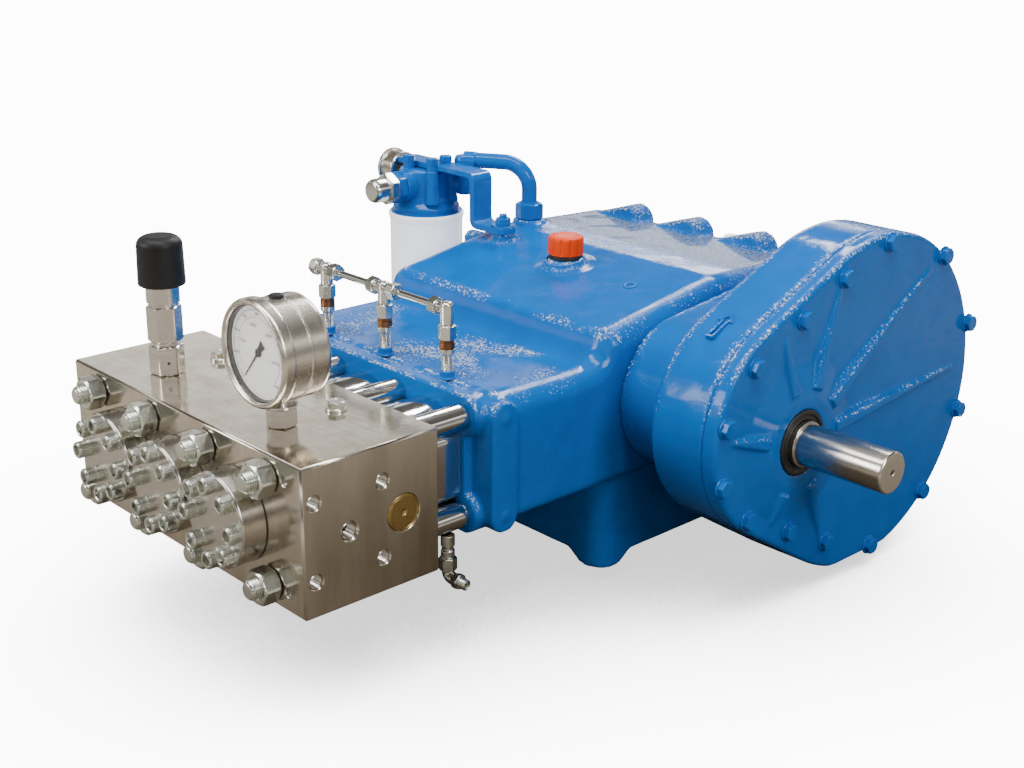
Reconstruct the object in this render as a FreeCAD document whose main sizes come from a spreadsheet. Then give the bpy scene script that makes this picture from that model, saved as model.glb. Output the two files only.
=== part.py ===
import FreeCAD, Part
import Sketcher
import math
import os
import re

from FreeCAD import Placement, Rotation, Vector

# High-pressure triplex piston pump. Millimetres, +Z up, +X towards the drive shaft,
# -Y towards the fluid end. The origin lies on the floor, at the centre of the feet.

document = FreeCAD.newDocument("PistonPump")
sheet = document.addObject("Spreadsheet::Sheet", "Sizes")

SIZES = {
    # cylinders
    "plunger_pitch": 102.5,
    "plunger_height": 168.5,
    "running_gap": 0.05,
    "assembly_gap": 0.3,
    # fluid block
    "block_front": -590,
    "block_width": 410,
    "block_depth": 159,
    "block_rise": 75,
    "block_chamfer": 2,
    "delivery_inset": 52.4,
    "delivery_bore_radius": 8.5,
    "delivery_bore_depth": 30,
    "flange_bolt_spacing": 77.5,
    "flange_bolt_radius": 7.2,
    "flange_bolt_depth": 26,
    "suction_inset": 115.6,
    "suction_plug_radius": 18.5,
    "suction_plug_depth": 12,
    "suction_port_radius": 19.5,
    "suction_port_depth": 32,
    "front_lift_hole_radius": 5,
    "front_lift_hole_depth": 18,
    "front_lift_hole_inset": 26.5,
    "front_lift_hole_rise": 55.5,
    # valve covers and their screws
    "cover_radius": 47,
    "cover_thickness": 27,
    "cover_chamfer": 1.5,
    "screw_circle_radius": 37.3,
    "screw_head_radius": 9,
    "screw_head_height": 12,
    "screw_socket_flats": 10,
    "screw_socket_depth": 6,
    "screw_count": 8,
    # tie studs between fluid block and casting
    "stud_radius": 10,
    "stud_rise": 53.3,
    "stud_tail": 28.7,
    "stud_chamfer": 1.5,
    "stud_hole_gap": 0.5,
    "nut_flats": 32,
    "nut_height": 19,
    "stud_gap_length": 73,
    "stud_sleeve_radius": 14,
    "stud_engagement": 40,
    # plunger housings between fluid block and casting
    "housing_radius": 45,
    "housing_collar_radius": 49,
    "housing_collar_length": 14,
    # relief valve
    "relief_flats": 32,
    "relief_lower_height": 31,
    "relief_neck_radius": 12.5,
    "relief_neck_height": 5,
    "relief_upper_height": 35,
    "relief_collar_radius": 17,
    "relief_collar_height": 18,
    "relief_cap_radius": 23.5,
    "relief_cap_taper": 1,
    "relief_cap_height": 54,
    "relief_cap_round": 6,
    # pressure gauge on the block
    "gauge_radius": 51,
    "gauge_case_radius": 48,
    "gauge_depth": 55,
    "gauge_front_inset": 22,
    "gauge_rise": 76,
    "gauge_bezel_width": 14,
    "gauge_wall": 4,
    "gauge_glass_inset": 3,
    "gauge_glass_thickness": 3,
    "gauge_dial_inset": 10,
    "gauge_dial_thickness": 1.5,
    "gauge_stem_flats": 27,
    "gauge_stem_height": 19,
    "gauge_stem_collar_radius": 16,
    "gauge_stem_collar_height": 3,
    "gauge_stem_neck_radius": 8,
    "gauge_plug_radius": 7,
    "gauge_plug_height": 3,
    # small plugs on top of the block
    "bleed_flats": 17,
    "bleed_height": 9,
    "bleed_washer_radius": 11,
    "bleed_washer_height": 3,
    # crosshead part of the casting
    "casting_half_width": 188,
    "crosshead_below": 62,
    "shoulder_round": 24,
    "casting_bottom_round": 10,
    "casting_front_round": 12,
    "front_plate_half_width": 158,
    "front_plate_thickness": 18,
    "side_pad_place": -331,
    "side_pad_radius": 17.5,
    "side_pad_proud": 3,
    "side_plug_radius": 5,
    "side_plug_proud": 1.5,
    # crankcase part of the casting
    "step_front": -191,
    "step_top_front": -175,
    "step_top_height": 276,
    "step_base_round": 28,
    "step_top_round": 18,
    "ridge_place": 1,
    "ridge_height": 306,
    "crankcase_rear": 181,
    "crankcase_rear_height": 299,
    "crankcase_round": 14,
    "hump_radius": 22,
    "hump_offset": 5,
    "hump_reach": 62,
    "hump_tip_radius": 10,
    "hump_rise": 19,
    "hump_depth": 30,
    "hump_round": 7,
    "lug_place": -30,
    "lug_height": 286,
    "lug_radius": 11,
    "lug_reach": 17,
    # pedestal and feet
    "pedestal_half_width": 184,
    "pedestal_front": -181,
    "pedestal_corner_round": 24,
    "pedestal_top": 130,
    "arch_height": 13,
    "foot_length": 32,
    "foot_slope": 18,
    "foot_round": 10,
    "foot_hole_radius": 7,
    "foot_hole_depth": 36,
    # gear case, seen along the shaft: a large circle behind and a small one in front
    "crank_place": 69.7,
    "gear_centre_height": 186,
    "gear_radius": 190.5,
    "pinion_centre_place": -79,
    "pinion_centre_height": 196.4,
    "pinion_case_radius": 120.5,
    "gear_case_inner": 259,
    "gear_case_split": 334,
    "gear_cover_face": 352.5,
    "gear_case_floor": 4,
    "gear_case_round": 5,
    "gear_case_back_round": 16,
    "neck_gear_radius": 112,
    "neck_pinion_radius": 84,
    "rib_root": 58,
    "rib_foot": 3,
    "rib_height": 10,
    "rib_root_width": 27,
    "rib_crest_width": 12,
    "rib_tip_width": 9,
    "rib_tip_crest_width": 3,
    "rib_tip_height": 2,
    "rib_up_angle": 70,
    "rib_up_reach": 163,
    "rib_rear_up_angle": 33,
    "rib_rear_up_reach": 268,
    "rib_rear_angle": 3.3,
    "rib_rear_reach": 292,
    "rib_front_up_angle": 106,
    "rib_front_up_reach": 120,
    "rib_front_angle": 167,
    "rib_front_reach": 112,
    "rib_front_down_angle": -113,
    "rib_front_down_reach": 92,
    "rib_down_angle": -67,
    "rib_down_reach": 140,
    "hub_base_radius": 88,
    "hub_radius": 50,
    "hub_height": 7,
    # drive shaft
    "shaft_place": -66.3,
    "shaft_height": 176.8,
    "shaft_radius": 22.5,
    "journal_radius": 25,
    "shaft_length": 110,
    "shaft_inner_length": 70,
    "shaft_chamfer": 2,
    "shaft_centre_radius": 3,
    "shaft_centre_depth": 7,
    "seal_radius": 36,
    "seal_thickness": 10,
    "seal_proud": 1.5,
    # crankcase covers
    "rear_cover_width": 300,
    "rear_cover_height": 150,
    "rear_cover_thickness": 12,
    "rear_cover_round": 24,
    "crank_cover_radius": 88,
    "crank_cover_thickness": 18,
    "crank_cover_dome_radius": 62,
    "crank_cover_dome_height": 10,
    "pinion_cover_radius": 46,
    "pinion_cover_thickness": 14,
    # oil filler
    "filler_place": -60.3,
    "filler_neck_radius": 21,
    "filler_neck_flare": 3.5,
    "filler_neck_top": 304,
    "filler_seal_height": 5,
    "filler_cap_radius": 21,
    "filler_cap_height": 22,
    "filler_cap_flutes": 12,
    "filler_flute_radius": 3.2,
    # crosshead oil manifold
    "manifold_place": -332.5,
    "manifold_rise": 73.5,
    "riser_stub_radius": 8,
    "riser_stub_height": 10,
    "riser_nipple_radius": 6,
    "riser_coupling_radius": 8.5,
    "riser_coupling_start": 20,
    "riser_coupling_height": 22,
    "riser_nut_flats": 17,
    "riser_nut_height": 12,
    "fitting_radius": 7,
    "fitting_arm": 17,
    "union_flats": 17,
    "union_length": 11,
    "oil_tube_radius": 4,
    # drain fitting under the plunger housings
    "drain_offset": 6,
    "drain_place": -382,
    "drain_hose_radius": 7.5,
    "drain_hose_length": 26,
    "drain_nut_flats": 17,
    "drain_nut_height": 14,
    "drain_elbow_radius": 7,
    "drain_elbow_length": 30,
    # oil filter
    "filter_across": -277,
    "filter_place": -43,
    "canister_radius": 47.5,
    "canister_height": 170,
    "canister_top": 312,
    "canister_round": 5,
    "filter_head_height": 30,
    "filter_head_top_radius": 30,
    "filter_port_height": 348,
    "filter_port_flats": 41,
    "filter_port_reach": 56,
    "filter_plug_flats": 36,
    "filter_plug_length": 14,
    "filter_plug_cap_radius": 15.5,
    "filter_plug_cap_length": 36,
    "filter_gauge_radius": 25,
    "filter_gauge_case_radius": 22.5,
    "filter_gauge_depth": 27,
    "filter_gauge_rim": 5,
    "filter_gauge_height": 359,
    "filter_gauge_stem_radius": 6,
    "filter_gauge_stem_length": 14,
    # bracket that carries the filter
    "bracket_width": 31,
    "bracket_thickness": 8,
    "bracket_top": 378,
    "bracket_start": -316,
    "bracket_drop_across": -166,
    "bracket_foot_across": -128,
    "bracket_post_radius": 14,
    "bracket_post_top": 308,
    # oil pipe from the filter to the crankcase
    "pipe_radius": 10,
    "pipe_bend_radius": 34,
    "pipe_nut_flats": 32,
    "pipe_nut_height": 22,
    "pipe_boss_radius": 21,
    "pipe_boss_top": 309,
    "pipe_foot_across": -162,
    "pipe_foot_place": 34,
    "pipe_straight": 15,
    "pipe_elbow_across": -236,
    "pipe_elbow_place": -12,
    "pipe_elbow_radius": 13,
    "pipe_elbow_arm": 17,
    "pipe_socket_radius": 12,
}

for row, (alias, number) in enumerate(SIZES.items(), start=1):
    sheet.set("A%d" % row, alias)
    sheet.set("B%d" % row, str(number))
    sheet.setAlias("B%d" % row, alias)
document.recompute()

# Directions: each piece is drawn along its own Z and laid along the named axis,
# with its own Y kept upright.
DIRECTIONS = {
    "+Z": Rotation(),
    "-Z": Rotation(Vector(1, 0, 0), Vector(0, -1, 0), Vector(0, 0, -1), "XYZ"),
    "+X": Rotation(Vector(0, 1, 0), Vector(0, 0, 1), Vector(1, 0, 0), "XYZ"),
    "-X": Rotation(Vector(0, -1, 0), Vector(0, 0, 1), Vector(-1, 0, 0), "XYZ"),
    "+Y": Rotation(Vector(-1, 0, 0), Vector(0, 0, 1), Vector(0, 1, 0), "XYZ"),
    "-Y": Rotation(Vector(1, 0, 0), Vector(0, 0, 1), Vector(0, -1, 0), "XYZ"),
}
TOP = "plunger_height + block_rise"
BLOCK_REAR = "block_front + block_depth"
CASTING_FRONT = "block_front + block_depth + stud_gap_length"
CASTING_LOW = "plunger_height - crosshead_below"
CYLINDERS = {"left": -1, "middle": 0, "right": 1}
PIPE_OFFSET = ("(pipe_elbow_across - filter_across)", "(pipe_elbow_place - filter_place)")
PIPE_RUN = ("(pipe_foot_across - pipe_elbow_across)", "(pipe_foot_place - pipe_elbow_place)")
PIPE_HEIGHT = "(pipe_boss_top + pipe_nut_height + pipe_straight + pipe_bend_radius)"
GEAR = ("crank_place", "gear_centre_height", "gear_radius")
PINION = ("pinion_centre_place", "pinion_centre_height", "pinion_case_radius")
nodes = []


def bound(text):
    """An expression with every size name pointed at the sheet."""
    return re.sub(r"[a-z_]+", lambda word: "Sizes." + word[0] if word[0] in SIZES else word[0],
                  str(text))


def number(text):
    """The value of an expression now."""
    return float(sheet.evalExpression(bound(text)))


def bind(piece, name, text):
    piece.setExpression(name, bound(text))


def place(piece, at, axis="+Z", turn=0.0):
    piece.Placement = Placement(Vector(), DIRECTIONS[axis] * Rotation(Vector(0, 0, 1), turn))
    for letter, text in zip("xyz", at):
        bind(piece, "Placement.Base." + letter, text)
    return piece


def node(piece, label):
    piece.Label = label
    nodes.append(piece)
    return piece


def rod(radius, length, at, axis="+Z"):
    piece = document.addObject("Part::Cylinder", "Rod")
    bind(piece, "Radius", radius)
    bind(piece, "Height", length)
    return place(piece, at, axis)


def cone(start_radius, end_radius, length, at, axis="+Z"):
    piece = document.addObject("Part::Cone", "Cone")
    bind(piece, "Radius1", start_radius)
    bind(piece, "Radius2", end_radius)
    bind(piece, "Height", length)
    return place(piece, at, axis)


def hexagon(flats, length, at, axis="+Z", turn=0.0):
    piece = document.addObject("Part::Prism", "Hexagon")
    piece.Polygon = 6
    bind(piece, "Circumradius", "(%s) / sqrt(3)" % flats)
    bind(piece, "Height", length)
    return place(piece, at, axis, turn)


def block(size, at):
    piece = document.addObject("Part::Box", "Block")
    for name, text in zip(("Length", "Width", "Height"), size):
        bind(piece, name, text)
    return place(piece, at)


def ball(radius, at):
    piece = document.addObject("Part::Sphere", "Ball")
    bind(piece, "Radius", radius)
    return place(piece, at)


def aimed(piece, run):
    """Turn a piece laid along +X to the level heading of a run, given as (across, depth)."""
    heading = math.degrees(math.atan2(number(run[1]), number(run[0])))
    turn = Rotation(Vector(0, 0, 1), heading) * piece.Placement.Rotation
    piece.Placement = Placement(piece.Placement.Base, turn)
    return piece


def fused(pieces):
    piece = document.addObject("Part::MultiFuse", "Fused")
    piece.Shapes = pieces
    piece.Refine = True
    return piece


def group(pieces):
    """Separate solids of one node."""
    piece = document.addObject("Part::Compound", "Group")
    piece.Links = pieces
    return piece


def cut(base, tools):
    piece = document.addObject("Part::Cut", "Cut")
    piece.Base = base
    piece.Tool = tools[0] if len(tools) == 1 else group_tool(tools)
    return piece


def group_tool(tools):
    piece = document.addObject("Part::MultiFuse", "Tools")
    piece.Shapes = tools
    return piece


def shared(pieces):
    piece = document.addObject("Part::MultiCommon", "Shared")
    piece.Shapes = pieces
    return piece


def sketch_on(body, role="XY_Plane"):
    sketch = body.newObject("Sketcher::SketchObject", "Outline")
    plane = [item for item in body.Origin.OriginFeatures if item.Role == role][0]
    sketch.AttachmentSupport = (plane, [""])
    sketch.MapMode = "FlatFace"
    return sketch


def pin_point(sketch, geometry, end, x_text, y_text):
    """Hold a point of the sketch at bound coordinates."""
    for kind, axis, text in (("DistanceX", -2, x_text), ("DistanceY", -1, y_text)):
        if str(text) == "0":
            sketch.addConstraint(Sketcher.Constraint("PointOnObject", geometry, end, axis))
        else:
            index = sketch.addConstraint(
                Sketcher.Constraint(kind, -1, 1, geometry, end, number(text)))
            sketch.setExpression("Constraints[%d]" % index, bound(text))


def polygon(sketch, points):
    """A closed outline whose corners are all bound."""
    corners = [Vector(number(across), number(up), 0) for across, up in points]
    count = len(corners)
    for index in range(count):
        sketch.addGeometry(Part.LineSegment(corners[index], corners[(index + 1) % count]))
    for index in range(count):
        sketch.addConstraint(Sketcher.Constraint("Coincident", index, 2, (index + 1) % count, 1))
    for index, (across, up) in enumerate(points):
        pin_point(sketch, index, 1, across, up)


def belted(sketch, large, small):
    """Two circles, each (across, up, radius), joined by their outer tangents."""
    circles = [(across, up, radius, Vector(number(across), number(up), 0), number(radius))
               for across, up, radius in (large, small)]
    (large, small) = circles
    run = small[3] - large[3]
    lean = math.atan2(run.y, run.x)
    spread = math.acos((large[4] - small[4]) / run.Length)
    tangent_up, tangent_down = lean - spread, lean + spread

    def on_circle(circle, angle):
        return circle[3] + Vector(math.cos(angle), math.sin(angle), 0) * circle[4]

    normal = Vector(0, 0, 1)
    arcs = ((large, tangent_down - 2 * math.pi, tangent_up), (small, tangent_up, tangent_down))
    for circle, start, end in arcs:
        sketch.addGeometry(Part.ArcOfCircle(Part.Circle(circle[3], normal, circle[4]), start, end))
    for angle in (tangent_up, tangent_down):
        sketch.addGeometry(Part.LineSegment(on_circle(large, angle), on_circle(small, angle)))
    for index, circle in enumerate(circles):
        pin_point(sketch, index, 3, circle[0], circle[1])
        held = sketch.addConstraint(Sketcher.Constraint("Radius", index, circle[4]))
        sketch.setExpression("Constraints[%d]" % held, bound(circle[2]))
    for joint in ((0, 2, 2, 1), (1, 1, 2, 2), (0, 1, 3, 1), (1, 2, 3, 2)):
        sketch.addConstraint(Sketcher.Constraint("Tangent", *joint))


def gear_outline(sketch):
    belted(sketch, GEAR, PINION)


def padded(draw, length, at, axis="+Z"):
    """A body whose outline is padded along its own Z and laid along the named axis."""
    body = document.addObject("PartDesign::Body", "Padded")
    sketch = sketch_on(body)
    draw(sketch)
    pad = body.newObject("PartDesign::Pad", "Pad")
    pad.Profile = sketch
    bind(pad, "Length", length)
    return place(body, at, axis)


def prism(points, length, at, axis="+Z"):
    return padded(lambda sketch: polygon(sketch, points), length, at, axis)


def turned(points, at, axis="+Z"):
    """A body turned about its own Z from (radius, height) corners."""
    body = document.addObject("PartDesign::Body", "Turned")
    sketch = sketch_on(body, "XZ_Plane")
    polygon(sketch, points)
    turn = body.newObject("PartDesign::Revolution", "Turn")
    turn.Profile = sketch
    turn.ReferenceAxis = (sketch, ["V_Axis"])
    turn.Angle = 360
    return place(body, at, axis)


def dressed(body, kind, size_name, wanted):
    """Fillet or chamfer the edges of a body that the test picks."""
    document.recompute()
    base = body.Tip
    names = ["Edge%d" % index for index, edge in enumerate(base.Shape.Edges, start=1) if wanted(edge)]
    feature = body.newObject("PartDesign::" + kind, kind)
    feature.Base = (base, names)
    bind(feature, "Radius" if kind == "Fillet" else "Size", size_name)
    return body


def runs_along(edge, letter):
    """Whether an edge lies straight along one axis of its body."""
    box = edge.BoundBox
    spans = {"x": box.XLength, "y": box.YLength, "z": box.ZLength}
    along = spans.pop(letter)
    return along > 0.01 > max(spans.values())


def across_of(side, offset="0"):
    return "%d * plunger_pitch + %s" % (CYLINDERS[side], offset)


def make_fluid_block():
    body = prism([("-block_width / 2", "0"), ("block_width / 2", "0"),
                  ("block_width / 2", "block_depth"), ("-block_width / 2", "block_depth")],
                 "2 * block_rise", ["0", "block_front", "plunger_height - block_rise"])
    dressed(body, "Chamfer", "block_chamfer", lambda edge: True)
    tools = []
    right, left = "block_width / 2", "-block_width / 2"
    delivery = "block_front + delivery_inset"
    suction = "block_front + suction_inset"
    tools.append(rod("delivery_bore_radius", "delivery_bore_depth",
                     [right, delivery, "plunger_height"], "-X"))
    tools.append(rod("suction_plug_radius + running_gap", "suction_plug_depth",
                     [right, suction, "plunger_height"], "-X"))
    tools.append(rod("suction_port_radius", "suction_port_depth",
                     [left, suction, "plunger_height"], "+X"))
    for one, other in ((-1, -1), (-1, 1), (1, -1), (1, 1)):
        tools.append(rod("flange_bolt_radius", "flange_bolt_depth",
                         [right, "%s + %d * flange_bolt_spacing / 2" % (delivery, one),
                          "plunger_height + %d * flange_bolt_spacing / 2" % other], "-X"))
        tools.append(rod("front_lift_hole_radius", "front_lift_hole_depth",
                         ["%d * (block_width / 2 - front_lift_hole_inset)" % one, "block_front",
                          "plunger_height + %d * front_lift_hole_rise" % other], "+Y"))
    for across, up in stud_places():
        tools.append(rod("stud_radius + stud_hole_gap", "block_depth",
                         [across, "block_front", up], "+Y"))
    node(cut(body, tools), "fluid_block")


def stud_places():
    """Across and height of each tie stud: four above and four below the plungers."""
    return [("%s * plunger_pitch" % column, "plunger_height + %d * stud_rise" % row)
            for column in (-1.5, -0.5, 0.5, 1.5) for row in (-1, 1)]


def make_valve_covers():
    screws = []
    for side in CYLINDERS:
        disc = [("0", "0"), ("cover_radius", "0"), ("cover_radius", "cover_thickness - cover_chamfer"),
                ("cover_radius - cover_chamfer", "cover_thickness"), ("0", "cover_thickness")]
        node(turned(disc, [across_of(side), "block_front", "plunger_height"], "-Y"),
             "valve_cover_" + side)
        for index in range(int(number("screw_count"))):
            angle = "(%d * 360 / screw_count)" % index
            at = [across_of(side, "screw_circle_radius * cos(%s)" % angle),
                  "block_front - cover_thickness",
                  "plunger_height + screw_circle_radius * sin(%s)" % angle]
            socket = [at[0], at[1] + " - screw_head_height", at[2]]
            screws.append(cut(rod("screw_head_radius", "screw_head_height", at, "-Y"),
                              [hexagon("screw_socket_flats", "screw_socket_depth", socket, "+Y")]))
    node(group(screws), "cover_screws")


def make_tie_studs():
    studs = []
    sleeves = []
    length = "stud_tail + block_depth + stud_gap_length + stud_engagement"
    for across, up in stud_places():
        stud = turned([("0", "0"), ("stud_radius", "0"), ("stud_radius", length + " - stud_chamfer"),
                       ("stud_radius - stud_chamfer", length), ("0", length)],
                      [across, CASTING_FRONT + " + stud_engagement", up], "-Y")
        nut = hexagon("nut_flats", "nut_height", [across, "block_front", up], "-Y", 30.0)
        studs.append(fused([stud, nut]))
        sleeve = rod("stud_sleeve_radius", "stud_gap_length", [across, BLOCK_REAR, up], "+Y")
        bore = rod("stud_radius + stud_hole_gap", "stud_gap_length", [across, BLOCK_REAR, up], "+Y")
        sleeves.append(cut(sleeve, [bore]))
    node(group(studs), "tie_studs")
    node(group(sleeves), "stud_sleeves")


def make_plunger_housings():
    for side in CYLINDERS:
        profile = [("0", "0"), ("housing_collar_radius", "0"),
                   ("housing_collar_radius", "housing_collar_length"),
                   ("housing_radius", "housing_collar_length"), ("housing_radius", "stud_gap_length"),
                   ("0", "stud_gap_length")]
        node(turned(profile, [across_of(side), BLOCK_REAR, "plunger_height"], "+Y"),
             "plunger_housing_" + side)


def make_block_plugs():
    node(turned([("0", "0"), ("suction_plug_radius", "0"),
                 ("suction_plug_radius", "suction_plug_depth - cover_chamfer"),
                 ("suction_plug_radius - cover_chamfer", "suction_plug_depth"),
                 ("0", "suction_plug_depth")],
                ["block_width / 2 - suction_plug_depth", "block_front + suction_inset",
                 "plunger_height"], "+X"), "suction_plug")
    bleeds = []
    for side in CYLINDERS:
        at = [across_of(side), "block_front + suction_inset", TOP]
        washer = rod("bleed_washer_radius", "bleed_washer_height", at)
        head = hexagon("bleed_flats", "bleed_height", at)
        bleeds.append(fused([washer, head]))
    node(group(bleeds), "bleed_plugs")


def make_relief_valve():
    across, depth = across_of("left"), "block_front + delivery_inset"
    neck_base = TOP + " + relief_lower_height"
    upper_base = neck_base + " + relief_neck_height"
    collar_base = upper_base + " + relief_upper_height"
    cap_base = collar_base + " + relief_collar_height"
    lower = hexagon("relief_flats", "relief_lower_height", [across, depth, TOP])
    neck = rod("relief_neck_radius", "relief_neck_height", [across, depth, neck_base])
    upper = hexagon("relief_flats", "relief_upper_height", [across, depth, upper_base])
    node(fused([lower, neck, upper]), "relief_valve_body")
    node(rod("relief_collar_radius", "relief_collar_height", [across, depth, collar_base]),
         "relief_valve_collar")
    cap = turned([("0", "0"), ("relief_cap_radius + relief_cap_taper", "0"),
                  ("relief_cap_radius", "relief_cap_height"), ("0", "relief_cap_height")],
                 [across, depth, cap_base])
    dressed(cap, "Fillet", "relief_cap_round",
            lambda edge: edge.BoundBox.ZMin > number("relief_cap_height") / 2)
    node(cap, "relief_valve_cap")


def make_gauge():
    across, centre = across_of("right"), TOP + " + gauge_rise"
    front = "block_front + gauge_front_inset"
    glass_seat = "gauge_glass_inset + gauge_glass_thickness"
    case = [("0", "gauge_dial_inset + gauge_dial_thickness"),
            ("gauge_radius - gauge_wall", "gauge_dial_inset + gauge_dial_thickness"),
            ("gauge_radius - gauge_wall", "0"), ("gauge_radius", "0"),
            ("gauge_radius", "gauge_bezel_width"), ("gauge_case_radius", "gauge_bezel_width"),
            ("gauge_case_radius", "gauge_depth"), ("0", "gauge_depth")]
    node(turned(case, [across, front, centre], "+Y"), "gauge_case")
    node(rod("gauge_radius - gauge_wall - running_gap", "gauge_dial_thickness",
             [across, front + " + gauge_dial_inset", centre], "+Y"), "gauge_dial")
    node(rod("gauge_radius - gauge_wall - running_gap", "gauge_glass_thickness",
             [across, front + " + gauge_glass_inset", centre], "+Y"), "gauge_glass")
    stem_place = "block_front + delivery_inset"
    collar = rod("gauge_stem_collar_radius", "gauge_stem_collar_height", [across, stem_place, TOP])
    flats = hexagon("gauge_stem_flats", "gauge_stem_height",
                    [across, stem_place, TOP + " + gauge_stem_collar_height"])
    neck_base = TOP + " + gauge_stem_collar_height + gauge_stem_height"
    neck = rod("gauge_stem_neck_radius",
               "gauge_rise - gauge_stem_collar_height - gauge_stem_height",
               [across, stem_place, neck_base])
    hollow = rod("gauge_case_radius", "gauge_depth", [across, front, centre], "+Y")
    node(cut(fused([collar, flats, neck]), [hollow]), "gauge_stem")
    node(cut(rod("gauge_plug_radius", "gauge_case_radius + gauge_plug_height",
                 [across, stem_place, centre]),
             [rod("gauge_case_radius", "gauge_depth", [across, front, centre], "+Y")]), "gauge_plug")


def arch(low, high, top):
    """The outline of a base that stands on two feet with a low arch between them."""
    return [(low, "0"), (low + " + foot_length", "0"),
            (low + " + foot_length + foot_slope", "arch_height"),
            (high + " - foot_length - foot_slope", "arch_height"),
            (high + " - foot_length", "0"), (high, "0"), (high, top), (low, top)]


def make_pedestal():
    depth = "crankcase_rear - pedestal_front"
    half = "pedestal_half_width"
    from_side = prism(arch("pedestal_front", "crankcase_rear", "pedestal_top"),
                      "2 * pedestal_half_width", ["-pedestal_half_width", "0", "0"], "+X")
    from_front = prism(arch("-pedestal_half_width", "pedestal_half_width", "pedestal_top"), depth,
                       ["0", "crankcase_rear", "0"], "-Y")
    inner = number("foot_slope + foot_length") / 2
    for piece, low, high in ((from_side, "pedestal_front", "crankcase_rear"),
                             (from_front, "-pedestal_half_width", "pedestal_half_width")):
        middle = number("(%s + %s) / 2" % (low, high))
        reach = number("(%s - (%s)) / 2 - foot_length - foot_slope / 2" % (high, low)) + inner
        dressed(piece, "Fillet", "foot_round",
                lambda edge: runs_along(edge, "z") and abs(edge.BoundBox.Center.x - middle) < reach)
    plan = prism([("-" + half, "pedestal_front"), (half, "pedestal_front"),
                  (half, "crankcase_rear"), ("-" + half, "crankcase_rear")],
                 "pedestal_top", ["0", "0", "0"])
    dressed(plan, "Fillet", "pedestal_corner_round", lambda edge: runs_along(edge, "z"))
    return shared([from_side, from_front, plan])


def make_crankcase():
    """The upper casting: crosshead part, step, ramp and crankcase in one side outline."""
    front = CASTING_FRONT + " + front_plate_thickness"
    body = prism([(front, CASTING_LOW), ("crankcase_rear", CASTING_LOW),
                  ("crankcase_rear", "crankcase_rear_height"), ("ridge_place", "ridge_height"),
                  ("step_top_front", "step_top_height"), ("step_front", TOP), (front, TOP)],
                 "2 * casting_half_width", ["-casting_half_width", "0", "0"], "+X")

    def crosses_at(across, up):
        """Picks the edge across the casting at one corner of the side outline."""
        corner = Vector(number(across), number(up), 0)

        def wanted(edge):
            centre = edge.BoundBox.Center
            return runs_along(edge, "z") and Vector(centre.x, centre.y, 0).distanceToPoint(corner) < 1
        return wanted

    dressed(body, "Fillet", "step_base_round", crosses_at("step_front", TOP))
    dressed(body, "Fillet", "step_top_round", crosses_at("step_top_front", "step_top_height"))
    dressed(body, "Fillet", "crankcase_round", crosses_at("crankcase_rear", "crankcase_rear_height"))
    low, top = number(CASTING_LOW) + 1, number(TOP) - 1
    dressed(body, "Fillet", "shoulder_round",
            lambda edge: edge.BoundBox.ZLength < 0.01 and edge.BoundBox.YMin > top)
    ends = number(front) + 1
    dressed(body, "Fillet", "casting_front_round",
            lambda edge: runs_along(edge, "y") and edge.BoundBox.XMax < ends)
    dressed(body, "Fillet", "casting_bottom_round",
            lambda edge: runs_along(edge, "x") and edge.BoundBox.YMax < low)
    return body


def make_casting_front():
    """The plate that the studs pull on, with a lobe round each stud."""
    plate = block(["2 * front_plate_half_width", "front_plate_thickness", "block_rise + crosshead_below"],
                  ["-front_plate_half_width", CASTING_FRONT, CASTING_LOW])
    lobes = [rod("block_rise - stud_rise", "2 * front_plate_thickness", [across, CASTING_FRONT, up], "+Y")
             for across, up in stud_places()]
    return [plate] + lobes


def make_side_pads():
    """A pad on each flank, round both ends, with a plug at the height of each stud row."""
    low, high = "plunger_height - stud_rise", "plunger_height + stud_rise"
    pieces = []
    for side, axis in ((1, "+X"), (-1, "-X")):
        face = "%d * (casting_half_width - shoulder_round)" % side
        depth = "shoulder_round + side_pad_proud"
        for up in (low, high):
            pieces.append(rod("side_pad_radius", depth, [face, "side_pad_place", up], axis))
            pieces.append(rod("side_plug_radius", depth + " + side_plug_proud",
                              [face, "side_pad_place", up], axis))
        start = face if side > 0 else "%s - (%s)" % (face, depth)
        pieces.append(block([depth, "2 * side_pad_radius", "2 * stud_rise"],
                            [start, "side_pad_place - side_pad_radius", low]))
    return pieces


def make_humps():
    """Teardrop humps on the rear edge, one behind each plunger."""
    pieces = []
    for side in CYLINDERS:
        centre = across_of(side, "hump_offset")
        up = "crankcase_rear_height + hump_rise - hump_radius"
        tip_up = "crankcase_rear_height - hump_tip_radius"
        hump = padded(lambda sketch: belted(sketch, (centre, up, "hump_radius"),
                                            (centre + " - hump_reach", tip_up, "hump_tip_radius")),
                      "hump_depth", ["0", "crankcase_rear", "0"], "-Y")
        depth = number("hump_depth")
        dressed(hump, "Fillet", "hump_round",
                lambda edge: edge.BoundBox.ZMin > depth - 0.01 and edge.BoundBox.YMax > number(up))
        pieces.append(hump)
    return pieces


def make_bosses():
    """What stands on the crankcase: filler neck, bracket post, pipe boss and a cast lug."""
    base = ["0", "filler_place"]
    flare = cone("filler_neck_radius + 2 * filler_neck_flare", "filler_neck_radius",
                 "2 * filler_neck_flare", base + ["filler_neck_top - 3 * filler_neck_flare"])
    neck = rod("filler_neck_radius", "filler_neck_top - step_top_height", base + ["step_top_height"])
    post = rod("bracket_post_radius", "bracket_post_top - step_top_height",
               ["bracket_foot_across", "filter_place", "step_top_height"])
    pipe_boss = rod("pipe_boss_radius", "pipe_boss_top - step_top_height",
                    ["pipe_foot_across", "pipe_foot_place", "step_top_height"])
    lug = rod("lug_radius", "lug_reach + shoulder_round",
              ["shoulder_round - casting_half_width", "lug_place", "lug_height"], "-X")
    return [flare, neck, post, pipe_boss, lug]


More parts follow.
